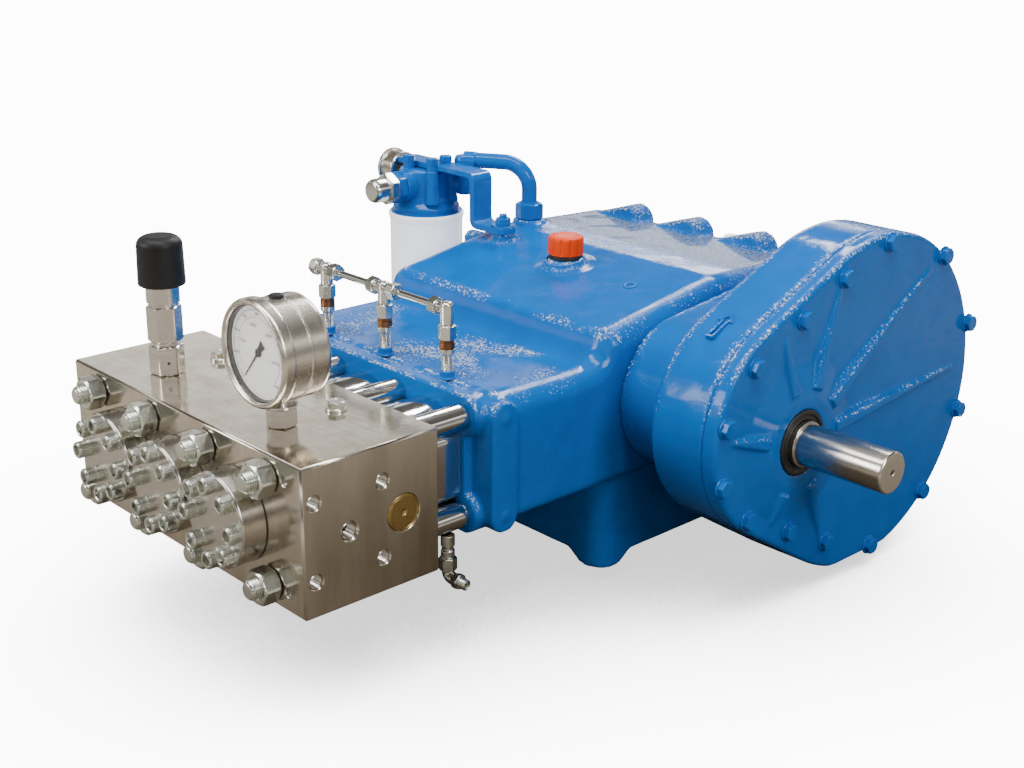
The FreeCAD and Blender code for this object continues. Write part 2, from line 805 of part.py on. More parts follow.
def make_casting():
    whole = fused([make_crankcase(), make_pedestal()] + make_casting_front() + make_side_pads()
                  + make_humps() + make_bosses())
    tools = [rod("stud_radius + running_gap", "stud_engagement", [across, CASTING_FRONT, up], "+Y")
             for across, up in stud_places()]
    for side in (-1, 1):
        for at in ("pedestal_front + pedestal_corner_round", "crankcase_rear - pedestal_corner_round"):
            across = "%d * (pedestal_half_width - pedestal_corner_round)" % side
            tools.append(rod("foot_hole_radius", "foot_hole_depth", [across, at, "0"]))
    node(cut(whole, tools), "crankcase_casting")


def floor_block():
    """What lies under the flat bottom of the gear case."""
    return block(["shaft_length + gear_cover_face", "4 * gear_radius", "gear_case_floor + 2 * gear_radius"],
                 ["0", "crank_place - 2 * gear_radius", "-2 * gear_radius"])


def make_gear_case():
    shell = padded(gear_outline, "gear_case_split - gear_case_inner", ["gear_case_inner", "0", "0"], "+X")
    dressed(shell, "Fillet", "gear_case_back_round", lambda edge: edge.BoundBox.ZMax < 0.01)
    neck = padded(lambda sketch: belted(sketch, GEAR[:2] + ("neck_gear_radius",),
                                        PINION[:2] + ("neck_pinion_radius",)),
                  "gear_case_inner + gear_case_back_round - casting_half_width",
                  ["casting_half_width", "0", "0"], "+X")
    bore = rod("journal_radius + running_gap", "shaft_inner_length",
               ["gear_cover_face + hub_height - shaft_inner_length - assembly_gap", "shaft_place",
                "shaft_height"], "+X")
    node(cut(fused([shell, neck]), [floor_block(), bore]), "gear_case")


def rib_section(body, name, base_width, crest_width, height, distance):
    """A trapezium across the rib at a distance from the shaft axis, with its foot in the plate."""
    sketch = sketch_on(body, "XZ_Plane")
    bind(sketch, "AttachmentOffset.Base.z", "-(%s)" % distance)
    half_base, half_crest = "(%s) / 2" % base_width, "(%s) / 2" % crest_width
    polygon(sketch, [("-" + half_base, "-rib_foot"), (half_base, "-rib_foot"), (half_crest, height),
                     ("-" + half_crest, height)])
    sketch.Label = name
    return sketch


def make_rib(name):
    """A ridge that runs out from the hub, lower and narrower towards its tip."""
    body = document.addObject("PartDesign::Body", "Rib")
    root = rib_section(body, "Root", "rib_root_width", "rib_crest_width", "rib_height", "rib_root")
    tip = rib_section(body, "Tip", "rib_tip_width", "rib_tip_crest_width", "rib_tip_height",
                      "rib_%s_reach" % name)
    loft = body.newObject("PartDesign::AdditiveLoft", "Ridge")
    loft.Profile = root
    loft.Sections = [tip]
    loft.Ruled = True
    place(body, ["gear_cover_face", "shaft_place", "shaft_height"], "+X")
    turn = DIRECTIONS["+X"] * Rotation(Vector(0, 0, 1), number("rib_%s_angle" % name) - 90)
    body.Placement = Placement(body.Placement.Base, turn)
    return body


def make_gear_cover():
    """The ribbed cover: a plate with the outline of the gears, a coned hub and seven ribs."""
    plate = padded(gear_outline, "gear_cover_face - gear_case_split", ["gear_case_split", "0", "0"], "+X")
    dressed(plate, "Fillet", "gear_case_round",
            lambda edge: edge.BoundBox.ZMin > number("gear_cover_face - gear_case_split") - 0.01)
    hub = cone("hub_base_radius", "hub_radius", "hub_height",
               ["gear_cover_face", "shaft_place", "shaft_height"], "+X")
    ribs = [make_rib(name)
            for name in ("up", "rear_up", "rear", "front_up", "front", "front_down", "down")]
    whole = fused([plate, hub] + ribs)
    bore = rod("journal_radius + running_gap", "gear_cover_face + hub_height - gear_case_split",
               ["gear_case_split", "shaft_place", "shaft_height"], "+X")
    seat = rod("seal_radius + running_gap", "seal_thickness + rib_height",
               ["gear_cover_face + hub_height + seal_proud - seal_thickness", "shaft_place",
                "shaft_height"], "+X")
    node(cut(whole, [floor_block(), bore, seat]), "gear_cover")


def make_drive_shaft():
    hub_face = "gear_cover_face + hub_height"
    seal_bore = "journal_radius + running_gap"
    seal = turned([(seal_bore, "0"), ("seal_radius", "0"), ("seal_radius", "seal_thickness"),
                   (seal_bore, "seal_thickness")],
                  [hub_face + " + seal_proud - seal_thickness", "shaft_place", "shaft_height"], "+X")
    node(seal, "shaft_seal")
    length = "shaft_inner_length + shaft_length"
    profile = [("0", "0"), ("journal_radius", "0"), ("journal_radius", "shaft_inner_length"),
               ("shaft_radius", "shaft_inner_length"), ("shaft_radius", length + " - shaft_chamfer"),
               ("shaft_radius - shaft_chamfer", length), ("shaft_centre_radius", length),
               ("0", length + " - shaft_centre_depth")]
    node(turned(profile, [hub_face + " - shaft_inner_length", "shaft_place", "shaft_height"], "+X"),
         "drive_shaft")


def make_crankcase_covers():
    half = "rear_cover_width / 2"
    low = "plunger_height - rear_cover_height / 2"
    high = "plunger_height + rear_cover_height / 2"
    cover = prism([("-" + half, low), (half, low), (half, high), ("-" + half, high)],
                  "rear_cover_thickness", ["0", "crankcase_rear", "0"], "+Y")
    dressed(cover, "Fillet", "rear_cover_round", lambda edge: runs_along(edge, "z"))
    node(cover, "rear_cover")
    node(turned([("0", "0"), ("crank_cover_radius", "0"), ("crank_cover_radius", "crank_cover_thickness"),
                 ("crank_cover_dome_radius", "crank_cover_thickness"),
                 ("crank_cover_dome_radius - crank_cover_dome_height",
                  "crank_cover_thickness + crank_cover_dome_height"),
                 ("0", "crank_cover_thickness + crank_cover_dome_height")],
                ["-casting_half_width", "crank_place", "plunger_height"], "-X"), "crank_bearing_cover")
    node(turned([("0", "0"), ("pinion_cover_radius", "0"),
                 ("pinion_cover_radius", "pinion_cover_thickness - cover_chamfer"),
                 ("pinion_cover_radius - cover_chamfer", "pinion_cover_thickness"),
                 ("0", "pinion_cover_thickness")],
                ["-casting_half_width", "shaft_place", "shaft_height"], "-X"), "pinion_bearing_cover")


def make_filler():
    seal_base = "filler_neck_top"
    node(rod("filler_cap_radius - 1", "filler_seal_height", ["0", "filler_place", seal_base]), "filler_seal")
    cap_base = seal_base + " + filler_seal_height"
    cap = rod("filler_cap_radius", "filler_cap_height", ["0", "filler_place", cap_base])
    flutes = []
    for index in range(int(number("filler_cap_flutes"))):
        angle = "(%d * 360 / filler_cap_flutes)" % index
        reach = "(filler_cap_radius + filler_flute_radius / 2)"
        flutes.append(rod("filler_flute_radius", "filler_cap_height",
                          ["%s * cos(%s)" % (reach, angle),
                           "filler_place + %s * sin(%s)" % (reach, angle), cap_base]))
    node(cut(cap, flutes), "filler_cap")


def make_oil_manifold():
    height = TOP + " + manifold_rise"
    risers = []
    fittings = {}
    for side in CYLINDERS:
        at = across_of(side)
        stub = rod("riser_stub_radius", "riser_stub_height", [at, "manifold_place", TOP])
        nipple = rod("riser_nipple_radius", "manifold_rise", [at, "manifold_place", TOP])
        coupling = rod("riser_coupling_radius", "riser_coupling_height",
                       [at, "manifold_place", TOP + " + riser_coupling_start"])
        nut = hexagon("riser_nut_flats", "riser_nut_height",
                      [at, "manifold_place", height + " - fitting_arm - riser_nut_height"])
        trim = rod("riser_coupling_radius", "fitting_arm",
                   [at, "manifold_place", height + " - fitting_arm"])
        risers.append(cut(fused([stub, nipple, coupling, nut]), [trim]))
        arms = [ball("fitting_radius", [at, "manifold_place", height]),
                rod("fitting_radius", "fitting_arm", [at, "manifold_place", height], "-Z")]
        for sign, axis in ((-1, "-X"), (1, "+X")):
            if side == "right" and sign > 0:
                continue
            arms.append(rod("fitting_radius", "fitting_arm", [at, "manifold_place", height], axis))
            arms.append(hexagon("union_flats", "union_length",
                                ["%s + %d * (fitting_arm - union_length / 2)" % (at, sign),
                                 "manifold_place", height], axis))
        fittings[side] = arms
    node(group(risers), "oil_risers")
    reach = "fitting_arm + union_length / 2"
    for side, label in (("left", "oil_tee_left"), ("middle", "oil_tee_middle"), ("right", "oil_elbow")):
        node(fused(fittings[side]), label)
    for side, label in (("left", "oil_tube_left"), ("middle", "oil_tube_right")):
        node(rod("oil_tube_radius", "plunger_pitch - 2 * (%s)" % reach,
                 ["%s + %s" % (across_of(side), reach), "manifold_place", height], "+X"), label)


def make_drain():
    at = ["1.5 * plunger_pitch + drain_offset", "drain_place"]
    top = "plunger_height - stud_rise - stud_sleeve_radius"
    hose = rod("drain_hose_radius", "drain_hose_length", at + [top], "-Z")
    nut = hexagon("drain_nut_flats", "drain_nut_height", at + [top + " - drain_hose_length"], "-Z")
    centre = top + " - drain_hose_length - drain_nut_height - drain_elbow_radius"
    elbow = ball("drain_elbow_radius", at + [centre])
    neck = rod("drain_elbow_radius", "drain_elbow_radius", at + [centre])
    arm = rod("drain_elbow_radius", "drain_elbow_length", at + [centre], "+X")
    node(fused([hose, nut, elbow, neck, arm]), "drain_fitting")


def make_filter():
    at = ["filter_across", "filter_place"]
    canister = turned([("0", "0"), ("canister_radius", "0"), ("canister_radius", "canister_height"),
                       ("0", "canister_height")], at + ["canister_top - canister_height"])
    dressed(canister, "Fillet", "canister_round", lambda edge: edge.Length > number("canister_height"))
    node(canister, "filter_canister")
    base = cone("canister_radius - 3", "filter_head_top_radius + 10", "filter_head_height",
                at + ["canister_top"])
    tower = rod("filter_head_top_radius", "bracket_top - bracket_thickness - canister_top",
                at + ["canister_top"])
    port = hexagon("filter_port_flats", "filter_port_reach", at + ["filter_port_height"], "-Y")
    outlet = aimed(rod("pipe_socket_radius", "hypot(%s; %s)" % PIPE_OFFSET,
                       at + ["filter_port_height"], "+X"), PIPE_OFFSET)
    elbow_at = ["pipe_elbow_across", "pipe_elbow_place"]
    elbow = rod("pipe_elbow_radius", PIPE_HEIGHT + " - filter_port_height + 2 * pipe_elbow_radius",
                elbow_at + ["filter_port_height - pipe_elbow_radius"])
    socket = aimed(rod("pipe_socket_radius", "pipe_elbow_arm", elbow_at + [PIPE_HEIGHT], "+X"), PIPE_RUN)
    node(fused([base, tower, port, outlet, elbow, socket]), "filter_head")
    plug_at = "filter_place - filter_port_reach"
    node(fused([hexagon("filter_plug_flats", "filter_plug_length",
                        ["filter_across", plug_at, "filter_port_height"], "-Y"),
                rod("filter_plug_cap_radius", "filter_plug_cap_length",
                    ["filter_across", plug_at, "filter_port_height"], "-Y")]), "filter_port_plug")


def make_filter_gauge():
    stem_end = "filter_across - filter_head_top_radius - filter_gauge_stem_length"
    case = turned([("0", "0"), ("filter_gauge_case_radius", "0"),
                   ("filter_gauge_case_radius", "filter_gauge_depth - filter_gauge_rim"),
                   ("filter_gauge_radius", "filter_gauge_depth - filter_gauge_rim"),
                   ("filter_gauge_radius", "filter_gauge_depth"), ("0", "filter_gauge_depth")],
                  [stem_end, "filter_place", "filter_gauge_height"], "-X")
    stem = rod("filter_gauge_stem_radius", "filter_gauge_stem_length + assembly_gap",
               ["filter_across - filter_head_top_radius - assembly_gap", "filter_place",
                "filter_gauge_height"], "-X")
    node(fused([case, stem]), "filter_gauge")


def make_oil_pipe():
    """A run from the filter elbow, a quarter bend and a drop into the union nut."""
    body = document.addObject("PartDesign::Body", "Pipe")
    spine = sketch_on(body, "XZ_Plane")
    reach = "(hypot(%s; %s) - pipe_elbow_arm)" % PIPE_RUN
    drop = "(pipe_straight + pipe_bend_radius)"
    span, bend, fall = number(reach), number("pipe_bend_radius"), number(drop)
    spine.addGeometry(Part.LineSegment(Vector(0, 0, 0), Vector(span - bend, 0, 0)))
    spine.addGeometry(Part.ArcOfCircle(
        Part.Circle(Vector(span - bend, -bend, 0), Vector(0, 0, 1), bend), 0, math.pi / 2))
    spine.addGeometry(Part.LineSegment(Vector(span, -bend, 0), Vector(span, -fall, 0)))
    for constraint in (("Coincident", 0, 1, -1, 1), ("Horizontal", 0), ("Tangent", 0, 2, 1, 2),
                       ("Tangent", 1, 1, 2, 1), ("Vertical", 2)):
        spine.addConstraint(Sketcher.Constraint(*constraint))
    held = spine.addConstraint(Sketcher.Constraint("Radius", 1, bend))
    spine.setExpression("Constraints[%d]" % held, bound("pipe_bend_radius"))
    pin_point(spine, 2, 2, reach, "-" + drop)
    profile = sketch_on(body, "YZ_Plane")
    profile.addGeometry(Part.Circle(Vector(), Vector(0, 0, 1), number("pipe_radius")))
    profile.addConstraint(Sketcher.Constraint("Coincident", 0, 3, -1, 1))
    held = profile.addConstraint(Sketcher.Constraint("Radius", 0, number("pipe_radius")))
    profile.setExpression("Constraints[%d]" % held, bound("pipe_radius"))
    pipe = body.newObject("PartDesign::AdditivePipe", "Sweep")
    pipe.Profile = profile
    pipe.Spine = (spine, [])
    heading = math.atan2(number(PIPE_RUN[1]), number(PIPE_RUN[0]))
    body.Placement = Placement(Vector(), Rotation(Vector(0, 0, 1), math.degrees(heading)))
    bind(body, "Placement.Base.x", "pipe_foot_across - %s * %r" % (reach, math.cos(heading)))
    bind(body, "Placement.Base.y", "pipe_foot_place - %s * %r" % (reach, math.sin(heading)))
    bind(body, "Placement.Base.z", PIPE_HEIGHT)
    node(body, "oil_pipe")
    node(hexagon("pipe_nut_flats", "pipe_nut_height",
                 ["pipe_foot_across", "pipe_foot_place", "pipe_boss_top"]), "oil_pipe_nut")


def make_bracket():
    low = "filter_place - bracket_width / 2"
    bar = block(["bracket_drop_across - bracket_start", "bracket_width", "bracket_thickness"],
                ["bracket_start", low, "bracket_top - bracket_thickness"])
    drop = block(["bracket_thickness", "bracket_width", "bracket_top - bracket_post_top"],
                 ["bracket_drop_across - bracket_thickness", low, "bracket_post_top"])
    foot = block(["bracket_foot_across - bracket_drop_across + bracket_thickness", "bracket_width",
                  "bracket_thickness"],
                 ["bracket_drop_across - bracket_thickness", low, "bracket_post_top"])
    end = rod("bracket_width / 2", "bracket_thickness",
              ["bracket_foot_across", "filter_place", "bracket_post_top"])
    node(fused([bar, drop, foot, end]), "filter_bracket")


def check_and_export():
    document.recompute()
    bad = [item.Name for item in document.Objects
           if any(word in item.State for word in ("Invalid", "Error"))]
    if bad:
        raise RuntimeError("failed objects: %s" % bad)
    os.makedirs("parts", exist_ok=True)
    for piece in nodes:
        if piece.Shape.isNull() or not piece.Shape.isValid():
            raise RuntimeError("bad shape: " + piece.Label)
        piece.Shape.exportStep(os.path.join("parts", piece.Label + ".step"))
        box = piece.Shape.BoundBox
        print("%-22s solids %2d volume %10.0f x %7.1f %7.1f y %7.1f %7.1f z %7.1f %7.1f" % (
            piece.Label, len(piece.Shape.Solids), piece.Shape.Volume, box.XMin, box.XMax,
            box.YMin, box.YMax, box.ZMin, box.ZMax))


for make in (make_fluid_block, make_valve_covers, make_tie_studs, make_plunger_housings,
             make_block_plugs, make_relief_valve, make_gauge, make_casting, make_gear_case,
             make_gear_cover, make_drive_shaft, make_crankcase_covers, make_filler,
             make_oil_manifold, make_drain, make_filter, make_filter_gauge, make_oil_pipe,
             make_bracket):
    make()
check_and_export()
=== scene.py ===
import math
import random

import bmesh
import bpy
from mathutils import Matrix, Vector, noise


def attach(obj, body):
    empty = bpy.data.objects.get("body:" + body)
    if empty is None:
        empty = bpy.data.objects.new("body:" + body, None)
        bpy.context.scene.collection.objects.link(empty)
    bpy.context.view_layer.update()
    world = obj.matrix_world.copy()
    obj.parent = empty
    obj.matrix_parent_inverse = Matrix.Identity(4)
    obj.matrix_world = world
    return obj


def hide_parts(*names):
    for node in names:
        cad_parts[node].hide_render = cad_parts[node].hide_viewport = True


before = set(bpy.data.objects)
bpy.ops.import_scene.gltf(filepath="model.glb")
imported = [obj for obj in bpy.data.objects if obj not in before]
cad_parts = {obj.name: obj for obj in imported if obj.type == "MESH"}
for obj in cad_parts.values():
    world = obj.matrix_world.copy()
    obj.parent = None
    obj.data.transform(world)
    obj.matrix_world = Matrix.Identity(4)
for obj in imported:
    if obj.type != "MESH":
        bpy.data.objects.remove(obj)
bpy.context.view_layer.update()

# High-pressure triplex piston pump. Sizes of pieces are in millimetres here and become
# metres when a mesh is made. +X runs along the drive shaft, -Y towards the fluid block, +Z up.

MM = 0.001
PUMP = "pump"
SHAFT = "shaft"

# Places of the main parts
PLUNGER_PITCH = 102.5
PLUNGER_HEIGHT = 168.5
PLUNGERS = {"left": -PLUNGER_PITCH, "middle": 0.0, "right": PLUNGER_PITCH}
BLOCK_FRONT = -590.0
BLOCK_REAR = -431.0
BLOCK_TOP = 243.5
BLOCK_HALF_WIDTH = 205.0
COVER_FACE = -617.0
COVER_SCREWS = 8
COVER_SCREW_CIRCLE = 37.3
STUD_RISE = 53.3
STUDS = [(column * PLUNGER_PITCH, PLUNGER_HEIGHT + row * STUD_RISE)
         for column in (-1.5, -0.5, 0.5, 1.5) for row in (-1, 1)]
FLANGE_SPACING = 77.5
CORNER_HOLE_INSET = 26.5
CORNER_HOLE_RISE = 55.5
GEAR_COVER_FACE = 352.5
MANIFOLD_PLACE = -332.5
MANIFOLD_HEIGHT = 317.0
FILTER_PORT_HEIGHT = 348.0

# Lines that run along X, as (Y, Z)
DELIVERY = (-537.6, PLUNGER_HEIGHT)
SUCTION = (-474.4, PLUNGER_HEIGHT)
CRANK_LINE = (69.7, PLUNGER_HEIGHT)
SHAFT_LINE = (-66.3, 176.8)

# Lines that stand upright, as (X, Y)
FILTER_LINE = (-277.0, -43.0)
BRACKET_FOOT = (-128.0, -43.0)
FILLER_LINE = (0.0, -60.3)
DRAIN_LINE = (159.75, -382.0)

# Radii of the holes in the fluid block
FLANGE_HOLE = 7.2
CORNER_HOLE = 5.0
DELIVERY_HOLE = 8.5
INLET_HOLE = 19.5
BLANKED_HOLE = 18.5

# The way that the sloped top of the crankcase faces
RAMP_NORMAL = (0, -0.168, 0.986)

# A chamfered hexagon's end face, as a share of its width across flats
HEX_END_FACE = 0.94

# Directions: the local X, Y and Z of a piece laid along each axis, with its Y kept upright
DIRECTIONS = {
    "+Z": ((1, 0, 0), (0, 1, 0), (0, 0, 1)),
    "-Z": ((1, 0, 0), (0, -1, 0), (0, 0, -1)),
    "+X": ((0, 1, 0), (0, 0, 1), (1, 0, 0)),
    "-X": ((0, -1, 0), (0, 0, 1), (-1, 0, 0)),
    "+Y": ((-1, 0, 0), (0, 0, 1), (0, 1, 0)),
    "-Y": ((1, 0, 0), (0, 0, 1), (0, -1, 0)),
}


def heading(axis, turn=0.0):
    """The turn that lays a piece along a named axis, after a turn about its own Z."""
    if isinstance(axis, str):
        columns = Matrix(DIRECTIONS[axis]).transposed()
    else:
        columns = Vector(axis).to_track_quat("Z", "Y").to_matrix()
    return (columns @ Matrix.Rotation(math.radians(turn), 3, "Z")).to_4x4()


# Outlines


def rounded(corners, steps=4):
    """A profile of (radius, height) from corners (radius, height, round)."""
    path = []
    for index, corner in enumerate(corners):
        point = Vector(corner[:2])
        size = corner[2] if len(corner) > 2 else 0
        if not size or index in (0, len(corners) - 1):
            path.append((point.x, point.y))
            continue
        before = Vector(corners[index - 1][:2]) - point
        after = Vector(corners[index + 1][:2]) - point
        reach = min(size, before.length / 2, after.length / 2)
        start = point + before.normalized() * reach
        end = point + after.normalized() * reach
        for step in range(steps + 1):
            share = step / steps
            bend = start.lerp(point, share).lerp(point.lerp(end, share), share)
            path.append((bend.x, bend.y))
    return path


def six_sided(flats, corner_loss=0.985):
    """Radius of a hexagon at each angle, with slightly broken corners."""
    widest = flats / math.sqrt(3) * corner_loss

    def radius(angle):
        across = (angle + math.pi / 6) % (math.pi / 3) - math.pi / 6
        return min(flats / 2 / math.cos(across), widest)
    return radius


def limited(shape, limit):
    """A radius that varies with the angle, turned down to a limit."""
    return lambda angle: min(shape(angle), limit)


def hex_profile(flats, height, start=0.0, bottom=True):
    """Rings of a hexagon whose corners are turned off at its top, and at its bottom unless told."""
    shape = six_sided(flats)
    slope = math.tan(math.radians(60))
    smallest = flats / 2 * HEX_END_FACE
    depth = (flats / math.sqrt(3) - smallest) / slope
    rings = []
    for step in range(5):
        share = step / 4
        rings.append((limited(shape, smallest + share * depth * slope), share * depth))
    lower = rings if bottom else [(shape, 0.0)]
    upper = [(radius, height - up) for radius, up in reversed(rings)]
    return [(radius, start + up) for radius, up in lower + upper]


def thread_profile(radius, pitch, start, end):
    """Ridges of a screw thread between two heights."""
    depth = 0.55 * pitch
    ridges = max(1, round((end - start) / pitch))
    step = (end - start) / ridges
    path = []
    for index in range(ridges):
        base = start + index * step
        path += [(radius - depth, base), (radius, base + 0.38 * step), (radius, base + 0.56 * step)]
    return path + [(radius - depth, end)]


def teeth(radius, depth, count):
    """A radius that goes in and out, once for each tooth."""
    return lambda angle: radius - depth * (0.5 - 0.5 * math.cos(angle * count))


# Surfaces


class Surface:
    """Points and faces of one piece, in millimetres."""

    def __init__(self):
        self.points = []
        self.faces = []

    def turned(self, profile, at=(0, 0, 0), axis="+Z", turn=0.0, count=48, caps=True):
        """Revolve (radius, height) pairs; a radius may vary with the angle."""
        where = Matrix.Translation(Vector(at)) @ heading(axis, turn)
        loops = []
        ring = profile[0] == profile[-1]
        for radius, height in profile[:-1] if ring else profile:
            first = len(self.points)
            if radius == 0:
                self.points.append(where @ Vector((0, 0, height)))
                loops.append([first])
                continue
            for step in range(count):
                angle = 2 * math.pi * step / count
                size = radius(angle) if callable(radius) else radius
                self.points.append(where @ Vector((size * math.cos(angle), size * math.sin(angle),
                                                   height)))
            loops.append(list(range(first, first + count)))
        if ring:
            loops.append(loops[0])
        for low, high in zip(loops, loops[1:]):
            self.join(low, high, count)
        if caps and not ring:
            if len(loops[0]) > 1:
                self.faces.append(tuple(reversed(loops[0])))
            if len(loops[-1]) > 1:
                self.faces.append(tuple(loops[-1]))
        return self

    def join(self, low, high, count):
        """Faces between two rings of points, either of which may be a single point."""
        if len(low) == 1 and len(high) == 1:
            return
        for step in range(count):
            after = (step + 1) % count
            if len(low) == 1:
                self.faces.append((low[0], high[after], high[step]))
            elif len(high) == 1:
                self.faces.append((low[step], low[after], high[0]))
            else:
                self.faces.append((low[step], low[after], high[after], high[step]))

    def swept(self, path, radius, count=20):
        """A round bar along a path, with flat ends."""
        path = [Vector(point) for point in path]
        loops = []
        side = None
        for index, point in enumerate(path):
            ahead = path[min(index + 1, len(path) - 1)] - path[max(index - 1, 0)]
            ahead.normalize()
            if side is None:
                side = ahead.orthogonal().normalized()
            side = (side - ahead * side.dot(ahead)).normalized()
            other = ahead.cross(side)
            first = len(self.points)
            for step in range(count):
                angle = 2 * math.pi * step / count
                self.points.append(point + side * (radius * math.cos(angle))
                                   + other * (radius * math.sin(angle)))
            loops.append(list(range(first, first + count)))
        for low, high in zip(loops, loops[1:]):
            self.join(low, high, count)
        self.faces.append(tuple(reversed(loops[0])))
        self.faces.append(tuple(loops[-1]))
        return self

    def plate(self, outline, low, high, at=(0, 0, 0), axis="+Z", turn=0.0):
        """A flat plate from an outline of (x, y) points."""
        where = Matrix.Translation(Vector(at)) @ heading(axis, turn)
        first = len(self.points)
        count = len(outline)
        for height in (low, high):
            self.points += [where @ Vector((x, y, height)) for x, y in outline]
        self.faces.append(tuple(reversed(range(first, first + count))))
        self.faces.append(tuple(range(first + count, first + 2 * count)))
        for step in range(count):
            after = (step + 1) % count
            self.faces.append((first + step, first + after, first + count + after,
                               first + count + step))
        return self

    def piece(self, name, material, body=PUMP, nodes=(), sharp=32.0, at=None, axis="+Z", turn=0.0,
              bevel=0.0):
        """Make the object, in place, riding on its body."""
        mesh = bpy.data.meshes.new(name)
        mesh.from_pydata([tuple(point * MM) for point in map(Vector, self.points)], [], self.faces)
        mesh.update()
        item = placed(name, mesh)
        if at is not None:
            item.matrix_world = Matrix.Translation(Vector(at) * MM) @ heading(axis, turn)
        if bevel:
            edge = item.modifiers.new("Broken edges", "BEVEL")
            edge.width = bevel * MM
            edge.segments = 2
            edge.limit_method = "ANGLE"
            edge.angle_limit = math.radians(40)
        dress(item, material, body, nodes, sharp)
        flat = item.modifiers.new("Flats shaded flat", "WEIGHTED_NORMAL")
        flat.keep_sharp = True
        return item


def placed(name, data):
    """A new object in the scene, made of the data."""
    item = bpy.data.objects.new(name, data)
    bpy.context.scene.collection.objects.link(item)
    return item


def dress(item, material, body=PUMP, nodes=(), sharp=32.0):
    """Give a piece its finish, its shading, its body and the nodes it stands for."""
    mesh = item.data
    mesh.materials.clear()
    mesh.materials.append(MATERIALS[material])
    mesh.shade_smooth()
    mesh.set_sharp_from_angle(angle=math.radians(sharp))
    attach(item, body)
    if nodes:
        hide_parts(*nodes)
    return item


def lathe(name, profile, at, axis, material, body=PUMP, nodes=(), count=72, turn=0.0, sharp=32.0):
    """A piece turned about its own Z, kept at its own centre so that its tool marks run true."""
    return Surface().turned(profile, count=count).piece(
        name, material, body, nodes, sharp, at=at, axis=axis, turn=turn)


# Shader building


def put(tree, kind, sockets=None, **settings):
    """Add a shader node; sockets may be constants or the outputs of other nodes."""
    made = tree.nodes.new(kind)
    for name, value in settings.items():
        setattr(made, name, value)
    for name, value in (sockets or {}).items():
        if isinstance(value, bpy.types.NodeSocket):
            tree.links.new(value, made.inputs[name])
        else:
            made.inputs[name].default_value = value
    return made


def maths(tree, operation, first, second=0.5, clamp=False):
    """The result of one sum on two numbers."""
    return put(tree, "ShaderNodeMath", {0: first, 1: second}, operation=operation,
               use_clamp=clamp).outputs[0]


def vectors(tree, operation, first, second=(0, 0, 0)):
    """A node for one sum on two vectors."""
    return put(tree, "ShaderNodeVectorMath", {0: first, 1: second}, operation=operation)


def spread(tree, value, low, high, to_low=0.0, to_high=1.0):
    """Stretch part of a value's range over another range."""
    return put(tree, "ShaderNodeMapRange", {"Value": value, "From Min": low, "From Max": high,
                                            "To Min": to_low, "To Max": to_high}).outputs[0]


def mixed(tree, share, first, second):
    """A colour between two colours, which the node takes at its inputs 6 and 7."""
    return put(tree, "ShaderNodeMix", {0: share, 6: first, 7: second}, data_type="RGBA").outputs[2]


def effect(name, inputs, outputs):
    """An empty shader group: inputs are given as {name: (kind, value)}, outputs as {name: kind}."""
    group = bpy.data.node_groups.new(name, "ShaderNodeTree")
    for label, (kind, value) in inputs.items():
        socket = group.interface.new_socket(label, in_out="INPUT", socket_type="NodeSocket" + kind)
        socket.default_value = value
    for label, kind in outputs.items():
        group.interface.new_socket(label, in_out="OUTPUT", socket_type="NodeSocket" + kind)
    start = group.nodes.new("NodeGroupInput")
    end = group.nodes.new("NodeGroupOutput")
    return group, start.outputs, end.inputs


def object_place(tree):
    """The place on a piece, from the piece's own centre."""
    return put(tree, "ShaderNodeTexCoord").outputs["Object"]


def noise_of(tree, place, scale, detail=2.0, roughness=0.5):
    """Cloudy noise between 0 and 1, about half on average."""
    return put(tree, "ShaderNodeTexNoise", {"Vector": place, "Scale": scale, "Detail": detail,
                                            "Roughness": roughness}).outputs[0]


